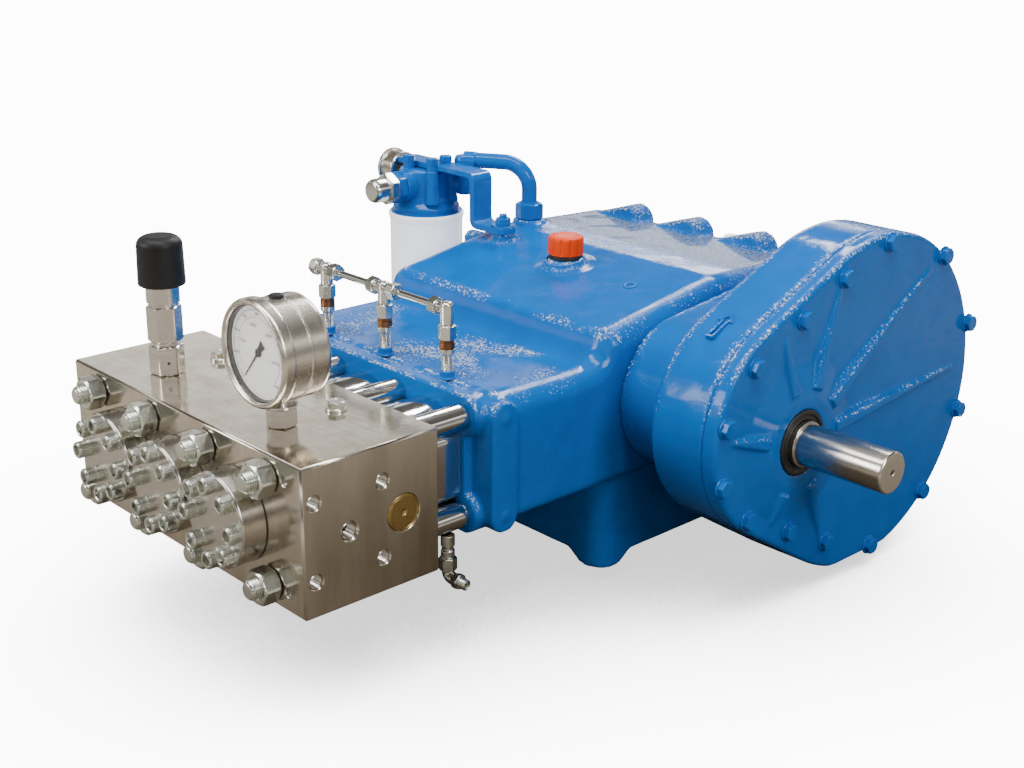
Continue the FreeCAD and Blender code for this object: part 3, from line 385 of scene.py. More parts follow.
def make_cast_skin():
    """Sand-cast surface under thick paint: slow waves, sags, grit, and pale flecks that are painted glints
    of light on the grit and on upward edges.
    """
    group, given, result = effect(
        "cast skin", {"Wave size": ("Float", 30.0), "Grit size": ("Float", 260.0),
                      "Grit on tops": ("Float", 1.0), "Grit everywhere": ("Float", 0.25),
                      "Edge radius": ("Float", 0.009), "Rough top start": ("Float", 0.0)},
        {"Height": "Float", "Tone": "Float", "Grit": "Float", "Painted glints": "Float", "Rear": "Float"})
    place = object_place(group)
    waves = noise_of(group, place, given["Wave size"], 3.0, 0.45)
    peel = noise_of(group, place, 210.0, 2.0, 0.5)
    grit = noise_of(group, place, given["Grit size"], 4.0, 0.62)
    geometry = put(group, "ShaderNodeNewGeometry").outputs
    upward = put(group, "ShaderNodeSeparateXYZ", {"Vector": geometry["Normal"]}).outputs["Z"]
    depth = put(group, "ShaderNodeSeparateXYZ", {"Vector": place}).outputs["Y"]
    tops = spread(group, upward, 0.986, 0.998)
    clouds = noise_of(group, place, 11.0, 4.0, 0.6)
    patches = spread(group, clouds, 0.46, 0.60)
    rear = spread(group, maths(group, "SUBTRACT", depth, given["Rough top start"]), -0.004, 0.008)
    rough_tops = maths(group, "MULTIPLY", tops, maths(group, "MAXIMUM", patches, rear))
    soft = put(group, "ShaderNodeBevel", {"Radius": given["Edge radius"]}, samples=4).outputs[0]
    agree = vectors(group, "DOT_PRODUCT", soft, geometry["Normal"]).outputs["Value"]
    # Only edges that face upwards take the painted glints, as if lit from above
    facing_up = spread(group, upward, 0.05, 0.6)
    gaps = spread(group, noise_of(group, place, 26.0, 3.0, 0.6), 0.34, 0.50)
    bent = put(group, "ShaderNodeAttribute", attribute_name="ridge").outputs["Fac"]
    ridge = maths(group, "MAXIMUM", spread(group, agree, 0.985, 0.94), bent)
    edges = maths(group, "MULTIPLY", ridge, maths(group, "MULTIPLY", facing_up, gaps))
    share = maths(group, "MULTIPLY", maths(group, "MAXIMUM", rough_tops, edges),
                  given["Grit on tops"])
    all_over = maths(group, "ADD", share, given["Grit everywhere"])
    rough = maths(group, "MULTIPLY", spread(group, grit, 0.36, 0.64, -0.5, 0.5), all_over)
    rough = maths(group, "MULTIPLY", rough, spread(group, rear, 0.0, 1.0, 1.0, 3.4))
    height = maths(group, "ADD", maths(group, "MULTIPLY", waves, 1.8),
                   maths(group, "ADD", maths(group, "MULTIPLY", peel, 0.3), rough))
    # Pale flecks painted as glints of light, denser where the grit is rough
    broken = noise_of(group, place, 340.0, 3.0, 0.7)
    cut = maths(group, "SUBTRACT", 0.66, maths(group, "MULTIPLY", share, 0.14))
    painted_glints = spread(group, maths(group, "SUBTRACT", broken, cut), 0.0, 0.025)
    group.links.new(height, result["Height"])
    group.links.new(spread(group, waves, 0.3, 0.7), result["Tone"])
    group.links.new(all_over, result["Grit"])
    group.links.new(maths(group, "MULTIPLY", painted_glints, spread(group, share, 0.05, 0.5)),
                    result["Painted glints"])
    group.links.new(maths(group, "MULTIPLY", maths(group, "MULTIPLY", tops, rear),
                          given["Grit on tops"]), result["Rear"])
    return group


def make_ground_grain():
    """Fine straight marks of grinding, along one axis of the piece."""
    group, given, result = effect(
        "ground grain", {"Stretch": ("Vector", (1.0, 40.0, 40.0)), "Fineness": ("Float", 60.0)},
        {"Height": "Float", "Streaks": "Float", "Stain": "Float"})
    place = object_place(group)
    laid = vectors(group, "MULTIPLY", place, given["Stretch"]).outputs[0]
    fine = noise_of(group, laid, given["Fineness"], 5.0, 0.65)
    broad = noise_of(group, laid, 9.0, 3.0, 0.5)
    runs = vectors(group, "MULTIPLY", place, (1.0, 1.0, 0.18)).outputs[0]
    stain = noise_of(group, runs, 30.0, 4.0, 0.6)
    group.links.new(fine, result["Height"])
    group.links.new(maths(group, "ADD", maths(group, "MULTIPLY", fine, 0.6),
                          maths(group, "MULTIPLY", broad, 0.4)), result["Streaks"])
    group.links.new(stain, result["Stain"])
    return group


def make_turned_grain():
    """Tool marks round the Z axis of a turned piece, on its side and on its ends."""
    group, given, result = effect("turned grain", {"Fineness": ("Float", 1400.0)},
                                  {"Height": "Float", "Streaks": "Float"})
    parts = put(group, "ShaderNodeSeparateXYZ", {"Vector": object_place(group)}).outputs
    flat = put(group, "ShaderNodeCombineXYZ", {"X": parts["X"], "Y": parts["Y"], "Z": 0.0}).outputs[0]
    outwards = vectors(group, "LENGTH", flat).outputs["Value"]
    rings = put(group, "ShaderNodeCombineXYZ", {"X": outwards, "Y": parts["Z"], "Z": 0.0}).outputs[0]
    fine = noise_of(group, rings, given["Fineness"], 2.0, 0.6)
    broad = noise_of(group, rings, 260.0, 2.0, 0.5)
    group.links.new(fine, result["Height"])
    group.links.new(maths(group, "ADD", maths(group, "MULTIPLY", fine, 0.5),
                          maths(group, "MULTIPLY", broad, 0.5)), result["Streaks"])
    return group


def make_broken_edges():
    """Normals that run round an edge, as where a sharp corner has been broken."""
    group, given, result = effect("broken edges", {"Radius": ("Float", 0.0012)}, {"Normal": "Vector"})
    soft = put(group, "ShaderNodeBevel", {"Radius": given["Radius"]}, samples=4).outputs[0]
    group.links.new(soft, result["Normal"])
    return group


def make_smudges():
    """Uneven sheen from handling and thin dust."""
    group, given, result = effect("smudges", {"Size": ("Float", 18.0)}, {"Smudge": "Float"})
    place = object_place(group)
    clouds = noise_of(group, place, given["Size"], 4.0, 0.6)
    specks = noise_of(group, place, 420.0, 2.0, 0.7)
    group.links.new(maths(group, "ADD", spread(group, clouds, 0.35, 0.7, 0.0, 0.8),
                          spread(group, specks, 0.62, 0.75, 0.0, 0.4), True), result["Smudge"])
    return group


def grouped(tree, group, sockets=None):
    """The outputs of an effect placed in a material, with the material's own values."""
    return put(tree, "ShaderNodeGroup", sockets, node_tree=group).outputs


def bumped(tree, height, strength, distance, normal=None):
    """Normals tilted by a height, on top of other normals where they are given."""
    made = put(tree, "ShaderNodeBump", {"Height": height, "Strength": strength, "Distance": distance})
    if normal is not None:
        tree.links.new(normal, made.inputs["Normal"])
    return made.outputs[0]


def finish_material(name, constants, build):
    """A material with one Principled shader, from its constants and from the sockets that vary."""
    material = bpy.data.materials.new(name)
    material.use_nodes = True
    tree = material.node_tree
    shader = tree.nodes["Principled BSDF"]
    for label, value in constants.items():
        shader.inputs[label].default_value = value
    for label, source in build(tree).items():
        tree.links.new(source, shader.inputs[label])
    return material


BLUE = (0.0, 0.130, 0.50, 1)
BLUE_DEEP = (0.0, 0.116, 0.445, 1)
# A pale colour painted as glints of light on edges and rough tops
PAINTED_GLINT = (0.66, 0.72, 0.70, 1)
# A pale beige painted as the sheen of light off the rough rear deck
DECK_SHEEN = (0.40, 0.39, 0.31, 1)

# Where the rear deck with its painted sheen starts along Y, in metres, and a value that lies behind every
# piece
REAR_DECK = 0.045
NO_REAR_DECK = 9.0


def make_materials():
    """All finishes by name. In the recipes, low and high are the ends of the roughness."""
    cast = make_cast_skin()
    ground = make_ground_grain()
    lathed = make_turned_grain()
    edges = make_broken_edges()
    smudge = make_smudges()

    def blue(grit_tops, grit_all, wave, strength, rear_start=NO_REAR_DECK, glint_share=0.8):
        def build(tree):
            skin = grouped(tree, cast, {"Grit on tops": grit_tops, "Grit everywhere": grit_all,
                                        "Wave size": wave, "Rough top start": rear_start})
            dirt = grouped(tree, smudge, {"Size": 11.0})
            base = mixed(tree, skin["Tone"], BLUE_DEEP, BLUE)
            # The rear deck is tinted towards its painted sheen
            base = mixed(tree, maths(tree, "MULTIPLY", skin["Rear"], 0.12), base, DECK_SHEEN)
            # Painted glints are pale, and take the deck's painted sheen colour on the rear deck
            glint_colour = mixed(tree, skin["Rear"], PAINTED_GLINT, DECK_SHEEN)
            base = mixed(tree, maths(tree, "MULTIPLY", skin["Painted glints"], glint_share), base, glint_colour)
            rough = maths(tree, "ADD", spread(tree, skin["Grit"], 0.0, 1.0, 0.10, 0.24),
                          maths(tree, "MULTIPLY", dirt["Smudge"], 0.04))
            return {"Base Color": base, "Roughness": rough,
                    "Normal": bumped(tree, skin["Height"], strength, 0.0006)}
        return build

    def brushed(colour, stained, stretch, low, high, bump):
        def build(tree):
            grain = grouped(tree, ground, {"Stretch": stretch})
            dirt = grouped(tree, smudge)
            broken = grouped(tree, edges, {"Radius": 0.0008})
            tone = mixed(tree, spread(tree, grain["Stain"], 0.35, 0.68), colour, stained)
            rough = maths(tree, "ADD", spread(tree, grain["Streaks"], 0.35, 0.65, low, high),
                          maths(tree, "MULTIPLY", dirt["Smudge"], 0.06))
            return {"Base Color": tone, "Roughness": rough,
                    "Normal": bumped(tree, grain["Height"], bump, 0.00005, broken["Normal"])}
        return build

    def turned(colour, dark, low, high, bump, fineness=1400.0):
        def build(tree):
            grain = grouped(tree, lathed, {"Fineness": fineness})
            dirt = grouped(tree, smudge, {"Size": 40.0})
            tone = mixed(tree, spread(tree, grain["Streaks"], 0.35, 0.65), colour, dark)
            rough = maths(tree, "ADD", spread(tree, grain["Streaks"], 0.3, 0.7, low, high),
                          maths(tree, "MULTIPLY", dirt["Smudge"], 0.05))
            return {"Base Color": tone, "Roughness": rough,
                    "Normal": bumped(tree, grain["Height"], bump, 0.00002)}
        return build

    def plated(colour, tint, low, high):
        def build(tree):
            broken = grouped(tree, edges, {"Radius": 0.00025})
            dirt = grouped(tree, smudge, {"Size": 60.0})
            clouds = noise_of(tree, object_place(tree), 55.0, 3.0, 0.6)
            tone = mixed(tree, spread(tree, clouds, 0.35, 0.65), colour, tint)
            rough = spread(tree, dirt["Smudge"], 0.0, 1.0, low, high)
            return {"Base Color": tone, "Roughness": rough,
                    "Normal": bumped(tree, clouds, 0.06, 0.0001, broken["Normal"])}
        return build

    def moulded(colour, dust, low, high, texture, strength):
        def build(tree):
            dirt = grouped(tree, smudge, {"Size": 35.0})
            pores = noise_of(tree, object_place(tree), texture, 3.0, 0.6)
            tone = mixed(tree, maths(tree, "MULTIPLY", dirt["Smudge"], 0.35), colour, dust)
            rough = spread(tree, dirt["Smudge"], 0.0, 1.0, low, high)
            return {"Base Color": tone, "Roughness": rough,
                    "Normal": bumped(tree, pores, strength, 0.0002)}
        return build

    def clear(tree):
        dirt = grouped(tree, smudge, {"Size": 30.0})
        return {"Roughness": spread(tree, dirt["Smudge"], 0.0, 1.0, 0.0, 0.05)}

    steel = {"Metallic": 1.0, "IOR": 2.5}
    paint = {"Coat Weight": 0.16, "Coat Roughness": 0.04, "IOR": 1.5, "Specular IOR Level": 0.18}
    recipes = {
        "blue_casting": (paint, blue(grit_tops=1.0, grit_all=0.06, wave=34.0, strength=0.9,
                                     rear_start=REAR_DECK, glint_share=0.85)),
        "blue_cover": (paint, blue(grit_tops=0.8, grit_all=0.03, wave=26.0, strength=0.6)),
        "blue_fitting": (paint, blue(grit_tops=0.2, grit_all=0.06, wave=60.0, strength=0.35,
                                     glint_share=0.3)),
        "block_steel": (dict(steel, Anisotropic=0.35),
                        brushed((0.70, 0.65, 0.57, 1), (0.54, 0.48, 0.40, 1),
                                stretch=(1.0, 26.0, 26.0), low=0.08, high=0.17, bump=0.12)),
        "turned_steel": (steel, turned((0.66, 0.63, 0.58, 1), (0.57, 0.54, 0.49, 1), 0.14, 0.24, 0.10)),
        "chromed_steel": (steel, turned((0.74, 0.73, 0.71, 1), (0.66, 0.65, 0.62, 1), 0.05, 0.12, 0.03)),
        "shaft_steel": (steel, turned((0.62, 0.58, 0.52, 1), (0.52, 0.48, 0.42, 1), 0.16, 0.26, 0.12,
                                      fineness=900.0)),
        "zinc_plate": (steel, plated((0.72, 0.73, 0.69, 1), (0.64, 0.66, 0.60, 1), 0.17, 0.27)),
        "nut_plate": (steel, plated((0.70, 0.72, 0.66, 1), (0.62, 0.65, 0.58, 1), 0.18, 0.28)),
        "gauge_steel": (steel, plated((0.72, 0.67, 0.59, 1), (0.69, 0.64, 0.56, 1), 0.24, 0.30)),
        "copper_ring": (steel, plated((0.34, 0.17, 0.08, 1), (0.22, 0.10, 0.05, 1), 0.25, 0.4)),
        "brass_disc": (steel, turned((0.56, 0.40, 0.16, 1), (0.40, 0.28, 0.10, 1), 0.20, 0.34, 0.12)),
        "black_cap": ({"Specular IOR Level": 0.3}, moulded((0.008, 0.008, 0.009, 1),
                                                           (0.02, 0.02, 0.021, 1), 0.42, 0.62,
                                                           900.0, 0.25)),
        "black_ring": ({}, moulded((0.010, 0.010, 0.011, 1), (0.04, 0.04, 0.04, 1), 0.35, 0.6,
                                   500.0, 0.2)),
        "orange_cap": ({"Specular IOR Level": 0.15},
                       moulded((0.86, 0.055, 0.0, 1), (0.78, 0.07, 0.004, 1), 0.34, 0.48, 300.0, 0.15)),
        # The enamel glows weakly: painted light that brightens the canister and the breather button
        "white_enamel_glow": ({"Coat Weight": 0.4, "Coat Roughness": 0.1,
                          "Emission Color": (0.92, 0.96, 1.0, 1), "Emission Strength": 0.9},
                         moulded((0.86, 0.89, 0.92, 1), (0.74, 0.75, 0.75, 1), 0.22, 0.38, 120.0, 0.08)),
        # The dial glows weakly: painted light that brightens it behind the glass
        "dial_card_glow": ({"Emission Color": (1, 1, 1, 1), "Emission Strength": 0.7},
                      moulded((0.88, 0.88, 0.86, 1), (0.82, 0.82, 0.80, 1), 0.45, 0.6, 200.0, 0.05)),
        "print_black": ({}, moulded((0.012, 0.012, 0.014, 1), (0.02, 0.02, 0.02, 1), 0.5, 0.6, 200.0,
                                    0.05)),
        "print_red": ({}, moulded((0.55, 0.02, 0.02, 1), (0.5, 0.03, 0.03, 1), 0.5, 0.6, 200.0, 0.05)),
        "window_glass": ({"Base Color": (1, 1, 1, 1), "Transmission Weight": 1.0, "IOR": 1.45}, clear),
        "dark_gap_and_hole_shade": ({}, moulded((0.02, 0.018, 0.016, 1), (0.03, 0.03, 0.03, 1), 0.6, 0.8, 200.0, 0.1)),
    }
    return {name: finish_material(name, *recipe) for name, recipe in recipes.items()}


# Every finish, by name
MATERIALS = make_materials()


# Castings


def evaluated(item):
    """The mesh of a temporary object with its modifiers applied; the object goes."""
    mesh = bpy.data.meshes.new_from_object(
        item.evaluated_get(bpy.context.evaluated_depsgraph_get()))
    bpy.data.objects.remove(item)
    return mesh


WELD_DISTANCE = 2e-6


def welded_copy(node):
    """A temporary object with a node's mesh, closed where its faces only meet."""
    shape = bmesh.new()
    shape.from_mesh(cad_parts[node].data)
    bmesh.ops.remove_doubles(shape, verts=shape.verts, dist=WELD_DISTANCE)
    mesh = bpy.data.meshes.new(node + " copy")
    shape.to_mesh(mesh)
    shape.free()
    return placed(node + " copy", mesh)


# How sharply a point stands out where the painted edge glints and rougher grit start, and how much more
# gives them in full
RIDGE_START = 0.014
RIDGE_SPAN = 0.016


def write_ridges(mesh):
    """How sharply each point of a skin stands out, as a value that places painted glints and rougher grit
    on its edges.
    """
    bends = [0.0] * len(mesh.vertices)
    counts = [0] * len(mesh.vertices)
    points = [vertex.co.copy() for vertex in mesh.vertices]
    normals = [vertex.normal.copy() for vertex in mesh.vertices]
    for edge in mesh.edges:
        first, second = edge.vertices
        along = (points[second] - points[first]).normalized()
        bends[first] -= along.dot(normals[first])
        bends[second] += along.dot(normals[second])
        counts[first] += 1
        counts[second] += 1
    bends = [bend / max(1, count) for bend, count in zip(bends, counts)]
    for _ in range(2):
        near = list(bends)
        for edge in mesh.edges:
            first, second = edge.vertices
            near[first] += bends[second]
            near[second] += bends[first]
        bends = [total / (count + 1) for total, count in zip(near, counts)]
    ridge = mesh.attributes.new("ridge", "FLOAT", "POINT")
    ridge.data.foreach_set("value", [min(1.0, max(0.0, (bend - RIDGE_START) / RIDGE_SPAN))
                                     for bend in bends])


def casting_skin(node, name, material, voxel, passes, lumps, keep):
    """A cast surface grown from a node: soft corners, slight waviness, one closed skin.

    The voxel and the lumps are in millimetres; keep is the share of faces left in the end.
    """
    item = welded_copy(node)
    grown = item.modifiers.new("Skin", "REMESH")
    grown.mode = "VOXEL"
    grown.voxel_size = voxel * MM
    soft = item.modifiers.new("Soft corners", "SMOOTH")
    soft.factor = 0.5
    soft.iterations = passes
    mesh = evaluated(item)
    write_ridges(mesh)
    moved = []
    for place, outwards in [(vertex.co.copy(), vertex.normal.copy()) for vertex in mesh.vertices]:
        wave = noise.noise(place * 22.0) + 0.5 * noise.noise(place * 55.0)
        moved.extend(place + outwards * (wave * lumps * MM))
    mesh.vertices.foreach_set("co", moved)
    mesh.update()
    item = placed(name, mesh)
    thin = item.modifiers.new("Fewer flat faces", "DECIMATE")
    thin.ratio = keep
    return dress(placed(name, evaluated(item)), material, nodes=(node,), sharp=60.0)


def make_castings():
    """The crankcase, the gear case and its ribbed cover."""
    casting_skin("crankcase_casting", "crankcase_skin", "blue_casting",
                 voxel=2.5, passes=3, lumps=0.30, keep=0.6)
    casting_skin("gear_case", "gear_case_skin", "blue_cover", voxel=2.5, passes=2, lumps=0.25, keep=0.6)
    casting_skin("gear_cover", "gear_cover_skin", "blue_cover", voxel=1.6, passes=1, lumps=0.15, keep=0.4)


# Fluid block


def make_fluid_block():
    """The ground block, with countersunk and threaded holes."""
    item = welded_copy("fluid_block")
    cutters = Surface()
    right, left = BLOCK_HALF_WIDTH, -BLOCK_HALF_WIDTH
    mouths = []
    for one, other in ((-1, -1), (-1, 1), (1, -1), (1, 1)):
        mouths.append(((right, DELIVERY[0] + one * FLANGE_SPACING / 2,
                        DELIVERY[1] + other * FLANGE_SPACING / 2), "+X", FLANGE_HOLE, 1.2))
        mouths.append(((one * (right - CORNER_HOLE_INSET), BLOCK_FRONT,
                        PLUNGER_HEIGHT + other * CORNER_HOLE_RISE), "-Y", CORNER_HOLE, 0.9))
    mouths.append(((right,) + DELIVERY, "+X", DELIVERY_HOLE, 2.0))
    mouths.append(((left,) + SUCTION, "-X", INLET_HOLE, 1.5))
    mouths.append(((right,) + SUCTION, "+X", BLANKED_HOLE, 1.2))
    for at, axis, radius, depth in mouths:
        cutters.turned([(radius - 1.5, -depth - 1.5), (radius + depth + 2, 2.0)], at, axis, count=48)
    mesh = bpy.data.meshes.new("mouths")
    mesh.from_pydata([tuple(point * MM) for point in cutters.points], [], cutters.faces)
    tool = placed("mouths", mesh)
    sunk = item.modifiers.new("Countersinks", "BOOLEAN")
    sunk.object = tool
    sunk.operation = "DIFFERENCE"
    sunk.solver = "EXACT"
    made = evaluated(item)
    bpy.data.objects.remove(tool)
    block = dress(placed("ground_block", made), "block_steel", nodes=("fluid_block",), sharp=30.0)
    for face in block.data.polygons:
        face.use_smooth = max(abs(part) for part in face.normal) < 0.999

    threads = Surface()
    for at, axis, radius, depth in mouths:
        if radius == BLANKED_HOLE:
            continue
        pitch = 2.3 if radius == INLET_HOLE else 2.0
        into = {"+X": "-X", "-X": "+X", "-Y": "+Y"}[axis]
        ridges = thread_profile(radius - 0.02, pitch, depth + 0.6, 15.0)
        threads.turned(ridges, at, into, count=36, caps=False)
    threads.piece("port_threads", "turned_steel", sharp=20)


def make_covers():
    """Valve covers with their black joint lines and knurled socket screws."""
    gaps = Surface()
    for side, across in PLUNGERS.items():
        at = (across, BLOCK_FRONT, PLUNGER_HEIGHT)
        profile = rounded([(0, 0), (46.4, 0), (47, 0.6), (47, 25.2, 1.0), (45.6, 27, 0.6), (0, 27)])
        lathe("turned_cover_" + side, profile, at, "-Y", "turned_steel",
              nodes=("valve_cover_" + side,), count=96)
        gaps.turned([(46.0, 0.0), (47.25, 0.0), (47.25, 0.9), (46.0, 0.9)], at, "-Y", count=96,
                    caps=False)
    gaps.piece("cover_joint_lines", "dark_gap_and_hole_shade")

    screws = Surface()
    knurl = teeth(9.0, 0.12, 42)
    socket = six_sided(10, 1.0)
    wide = limited(lambda angle: socket(angle) + 0.7, 8.0)
    for across in PLUNGERS.values():
        for step in range(COVER_SCREWS):
            angle = math.radians(360 / COVER_SCREWS * step)
            at = (across + COVER_SCREW_CIRCLE * math.cos(angle), COVER_FACE,
                  PLUNGER_HEIGHT + COVER_SCREW_CIRCLE * math.sin(angle))
            turn = random.uniform(0, 60)
            screws.turned([(0, 0), (8.6, 0), (knurl, 0.5), (knurl, 10.3), (8.55, 11.0), (8.1, 11.7),
                           (7.6, 12.0), (wide, 12.0), (socket, 11.3), (socket, 5.6), (0, 4.4)],
                          at, "-Y", turn, 84, False)
            screws.turned([(10.4, 0.0), (10.4, 0.4), (8.4, 0.4)], at, "-Y", 0, 48, False)
    screws.piece("socket_screws", "zinc_plate", nodes=("cover_screws",), sharp=24)


def make_studs():
    """Tie studs with threaded, domed ends and their nuts, and the sleeves behind."""
    studs = Surface()
    nuts = Surface()
    gaps = Surface()
    for number, (across, up) in enumerate(STUDS, start=1):
        front = (across, BLOCK_FRONT, up)
        tail = thread_profile(9.9, 2.5, 17.0, 26.2)
        dome = [(9.0, 26.6), (7.9, 27.9), (7.4, 28.2), (0, 28.5)]
        studs.turned([(0, -272), (9.9, -272), (9.9, 17.0)] + tail + dome, front, "-Y", count=40)
        turn = 30 + random.uniform(-4, 4)
        nuts.turned([(0, 0.9), (15.6, 0.9)] + hex_profile(32, 18.1, 0.9)
                    + [(11.4, 19.0), (10.2, 17.9), (0, 17.9)], front, "-Y", turn, 72, False)
        gaps.turned([(15.2, 0), (15.2, 1.0), (12, 1.0)], front, "-Y", count=48, caps=False)
        profile = rounded([(0, 0), (14, 0), (14, 73), (0, 73)])
        lathe("sleeve_%d" % number, profile, (across, BLOCK_REAR, up), "+Y", "chromed_steel",
              nodes=("stud_sleeves",), count=48)
    studs.piece("stud_ends", "nut_plate", nodes=("tie_studs",), sharp=24)
    nuts.piece("stud_nuts", "nut_plate", sharp=24)
    gaps.piece("stud_joint_lines", "dark_gap_and_hole_shade")


def make_housings():
    """Plunger housings: round and polished, with flats where neighbours meet."""
    radius, to_flat = 59.5, 51.0
    outline = []
    for step in range(144):
        angle = math.radians(2.5 * step)
        reach = min(to_flat / max(abs(math.cos(angle)), 0.01), radius)
        outline.append((reach * math.cos(angle), reach * math.sin(angle)))
    for side, across in PLUNGERS.items():
        Surface().plate(outline, 0.0, 72.9).piece(
            "plunger_sleeve_" + side, "chromed_steel", nodes=("plunger_housing_" + side,),
            at=(across, BLOCK_REAR, PLUNGER_HEIGHT), axis="+Y", bevel=0.8)


def make_block_plugs():
    """The disc in the blanked inlet, and the bleed plugs on the block."""
    plug = [(0, 0), (BLANKED_HOLE, 0), (BLANKED_HOLE, 11.0), (17.7, 11.8), (17.0, 11.9), (16.6, 11.4),
            (16.0, 11.4), (15.6, 11.8), (4.0, 11.8), (3.4, 11.2), (1.2, 10.6), (0, 9.6)]
    lathe("suction_blank", plug, (BLOCK_HALF_WIDTH - 12.0,) + SUCTION, "+X", "brass_disc",
          nodes=("suction_plug",))
    hexes = Surface()
    for across in PLUNGERS.values():
        at = (across, SUCTION[0], BLOCK_TOP)
        hexes.turned([(0, 0), (10.6, 0), (11, 0.4), (11, 2.5), (10.5, 3.0), (7.9, 3.0)], at, "+Z", 0, 48,
                     False)
        hexes.turned([(0, 3.0), (7.9, 3.0)] + hex_profile(17, 6.0, 3.0, bottom=False)
                     + [(5.2, 9.0), (4.8, 8.6), (0, 8.6)], at, "+Z", random.uniform(0, 60), 72, False)
    hexes.piece("bleed_plug_hexes", "zinc_plate", nodes=("bleed_plugs",), sharp=24)


def make_relief_valve():
    """A turned body with two hexagons, a weep hole, a faceted ring and a rubber cap."""
    at = (-PLUNGER_PITCH, DELIVERY[0], BLOCK_TOP)
    body = Surface()
    lower = hex_profile(32, 31, 0.0)
    upper = hex_profile(32, 38.5, 34.5)
    body.turned([(0, 0), (14.6, 0)] + lower + [(13.2, 31), (12.5, 31.4), (12.5, 34.1), (13.2, 34.5)]
                + upper + [(15.4, 73), (15.4, 75), (0, 75)], count=72, caps=False)
    body.piece("relief_hexes", "turned_steel", nodes=("relief_valve_body",), sharp=24, at=at, turn=35)
    # A dark disc painted as the shade inside the weep hole
    hole = Surface().turned([(1.5, -0.4), (1.5, 0.3), (0, 0.3)],
                            (at[0] + 14.5, at[1] - 6.76, at[2] + 14), (0.906, -0.423, 0), 0, 24, False)
    hole.piece("relief_weep_hole", "dark_gap_and_hole_shade")
    facets = six_sided(31.5, 0.94)
    collar = [(0, 0), (15.6, 0), (facets, 0.8), (facets, 18.8), (15.6, 19.6), (0, 19.6)]
    lathe("relief_ring", collar, (at[0], at[1], 318.5), "+Z", "turned_steel",
          nodes=("relief_valve_collar",), count=72, turn=27, sharp=24)
    cap = rounded([(0, 0), (23.6, 0, 1.0), (24.2, 1.6, 0.8), (23.2, 45.5, 5.5), (16.0, 51.0, 5.0),
                   (0, 50.6)], 7)
    lathe("relief_cap_shell", cap, (at[0], at[1], 338.0), "+Z", "black_cap",
          nodes=("relief_valve_cap",), count=96)


# The dial: its depth behind the bezel, the angles of its zero, of its sweep to full scale and of
# its pointer, and the marks on its red scale
DIAL_DEPTH = 10.0
DIAL_ZERO = 226.0
DIAL_SWEEP = 272.0
POINTER_REST = 230.0
RED_FULL_SCALE = 46.4


def make_gauge():
    """Glycerine-filled pressure gauge: rolled bezel, seamed case, printed dial."""
    bezel_front = -568.0
    at = (PLUNGER_PITCH, bezel_front, BLOCK_TOP + 76)
    case = rounded([(0, 59), (41, 59, 2), (45.4, 57.6, 2), (48.7, 55.5, 2.0), (49.6, 52, 1.0),
                    (49.6, 36, 0.4), (50.4, 35.4, 0.3), (50.4, 33.8, 0.3), (49.6, 33.2, 0.4),
                    (49.6, 15.0, 0.6), (52.0, 14.4, 0.8), (52.5, 12.0, 1.0), (52.5, 3.4, 2.6),
                    (50.4, 0.3, 2.2), (48.6, 0.0, 1.2), (46.4, 1.4, 0.8), (45.9, 3.2), (45.9, 10.2)], 5)
    lathe("gauge_shell", case, at, "+Y", "gauge_steel", nodes=("gauge_case",), count=120)
    ring = [(45.95, 5.0), (45.95, 10.0), (44.4, 10.0), (45.2, 5.0), (45.95, 5.0)]
    lathe("gauge_inner_ring", ring, at, "+Y", "black_ring", count=96)
    dial = [(0, DIAL_DEPTH), (45.8, DIAL_DEPTH), (45.8, DIAL_DEPTH + 1.5), (0, DIAL_DEPTH + 1.5)]
    lathe("gauge_face", dial, at, "+Y", "dial_card_glow", nodes=("gauge_dial",), count=96)
    glass = [(0, 3.0), (45.7, 3.0), (45.7, 5.0), (0, 5.0)]
    lathe("gauge_window", glass, at, "+Y", "window_glass", nodes=("gauge_glass",), count=96)
    make_dial_print(at)
    stem = [(0, 0), (13, 0)] + hex_profile(27, 19, 0.0) + \
        [(12.4, 19), (15.4, 19.0), (16, 19.6), (16, 21.5), (15.4, 22), (8, 22), (8, 29.2), (0, 29.2)]
    Surface().turned(stem, count=72, caps=False).piece(
        "gauge_foot", "turned_steel", nodes=("gauge_stem",), sharp=24,
        at=(at[0], DELIVERY[0], BLOCK_TOP), turn=8)
    plug = rounded([(0, -2), (7, -2), (7, 2.2, 0.8), (5.4, 3.2, 0.6), (0, 3.2)])
    lathe("gauge_filling_plug", plug, (at[0], DELIVERY[0], 368.6), "+Z", "black_cap",
          nodes=("gauge_plug",), count=32)


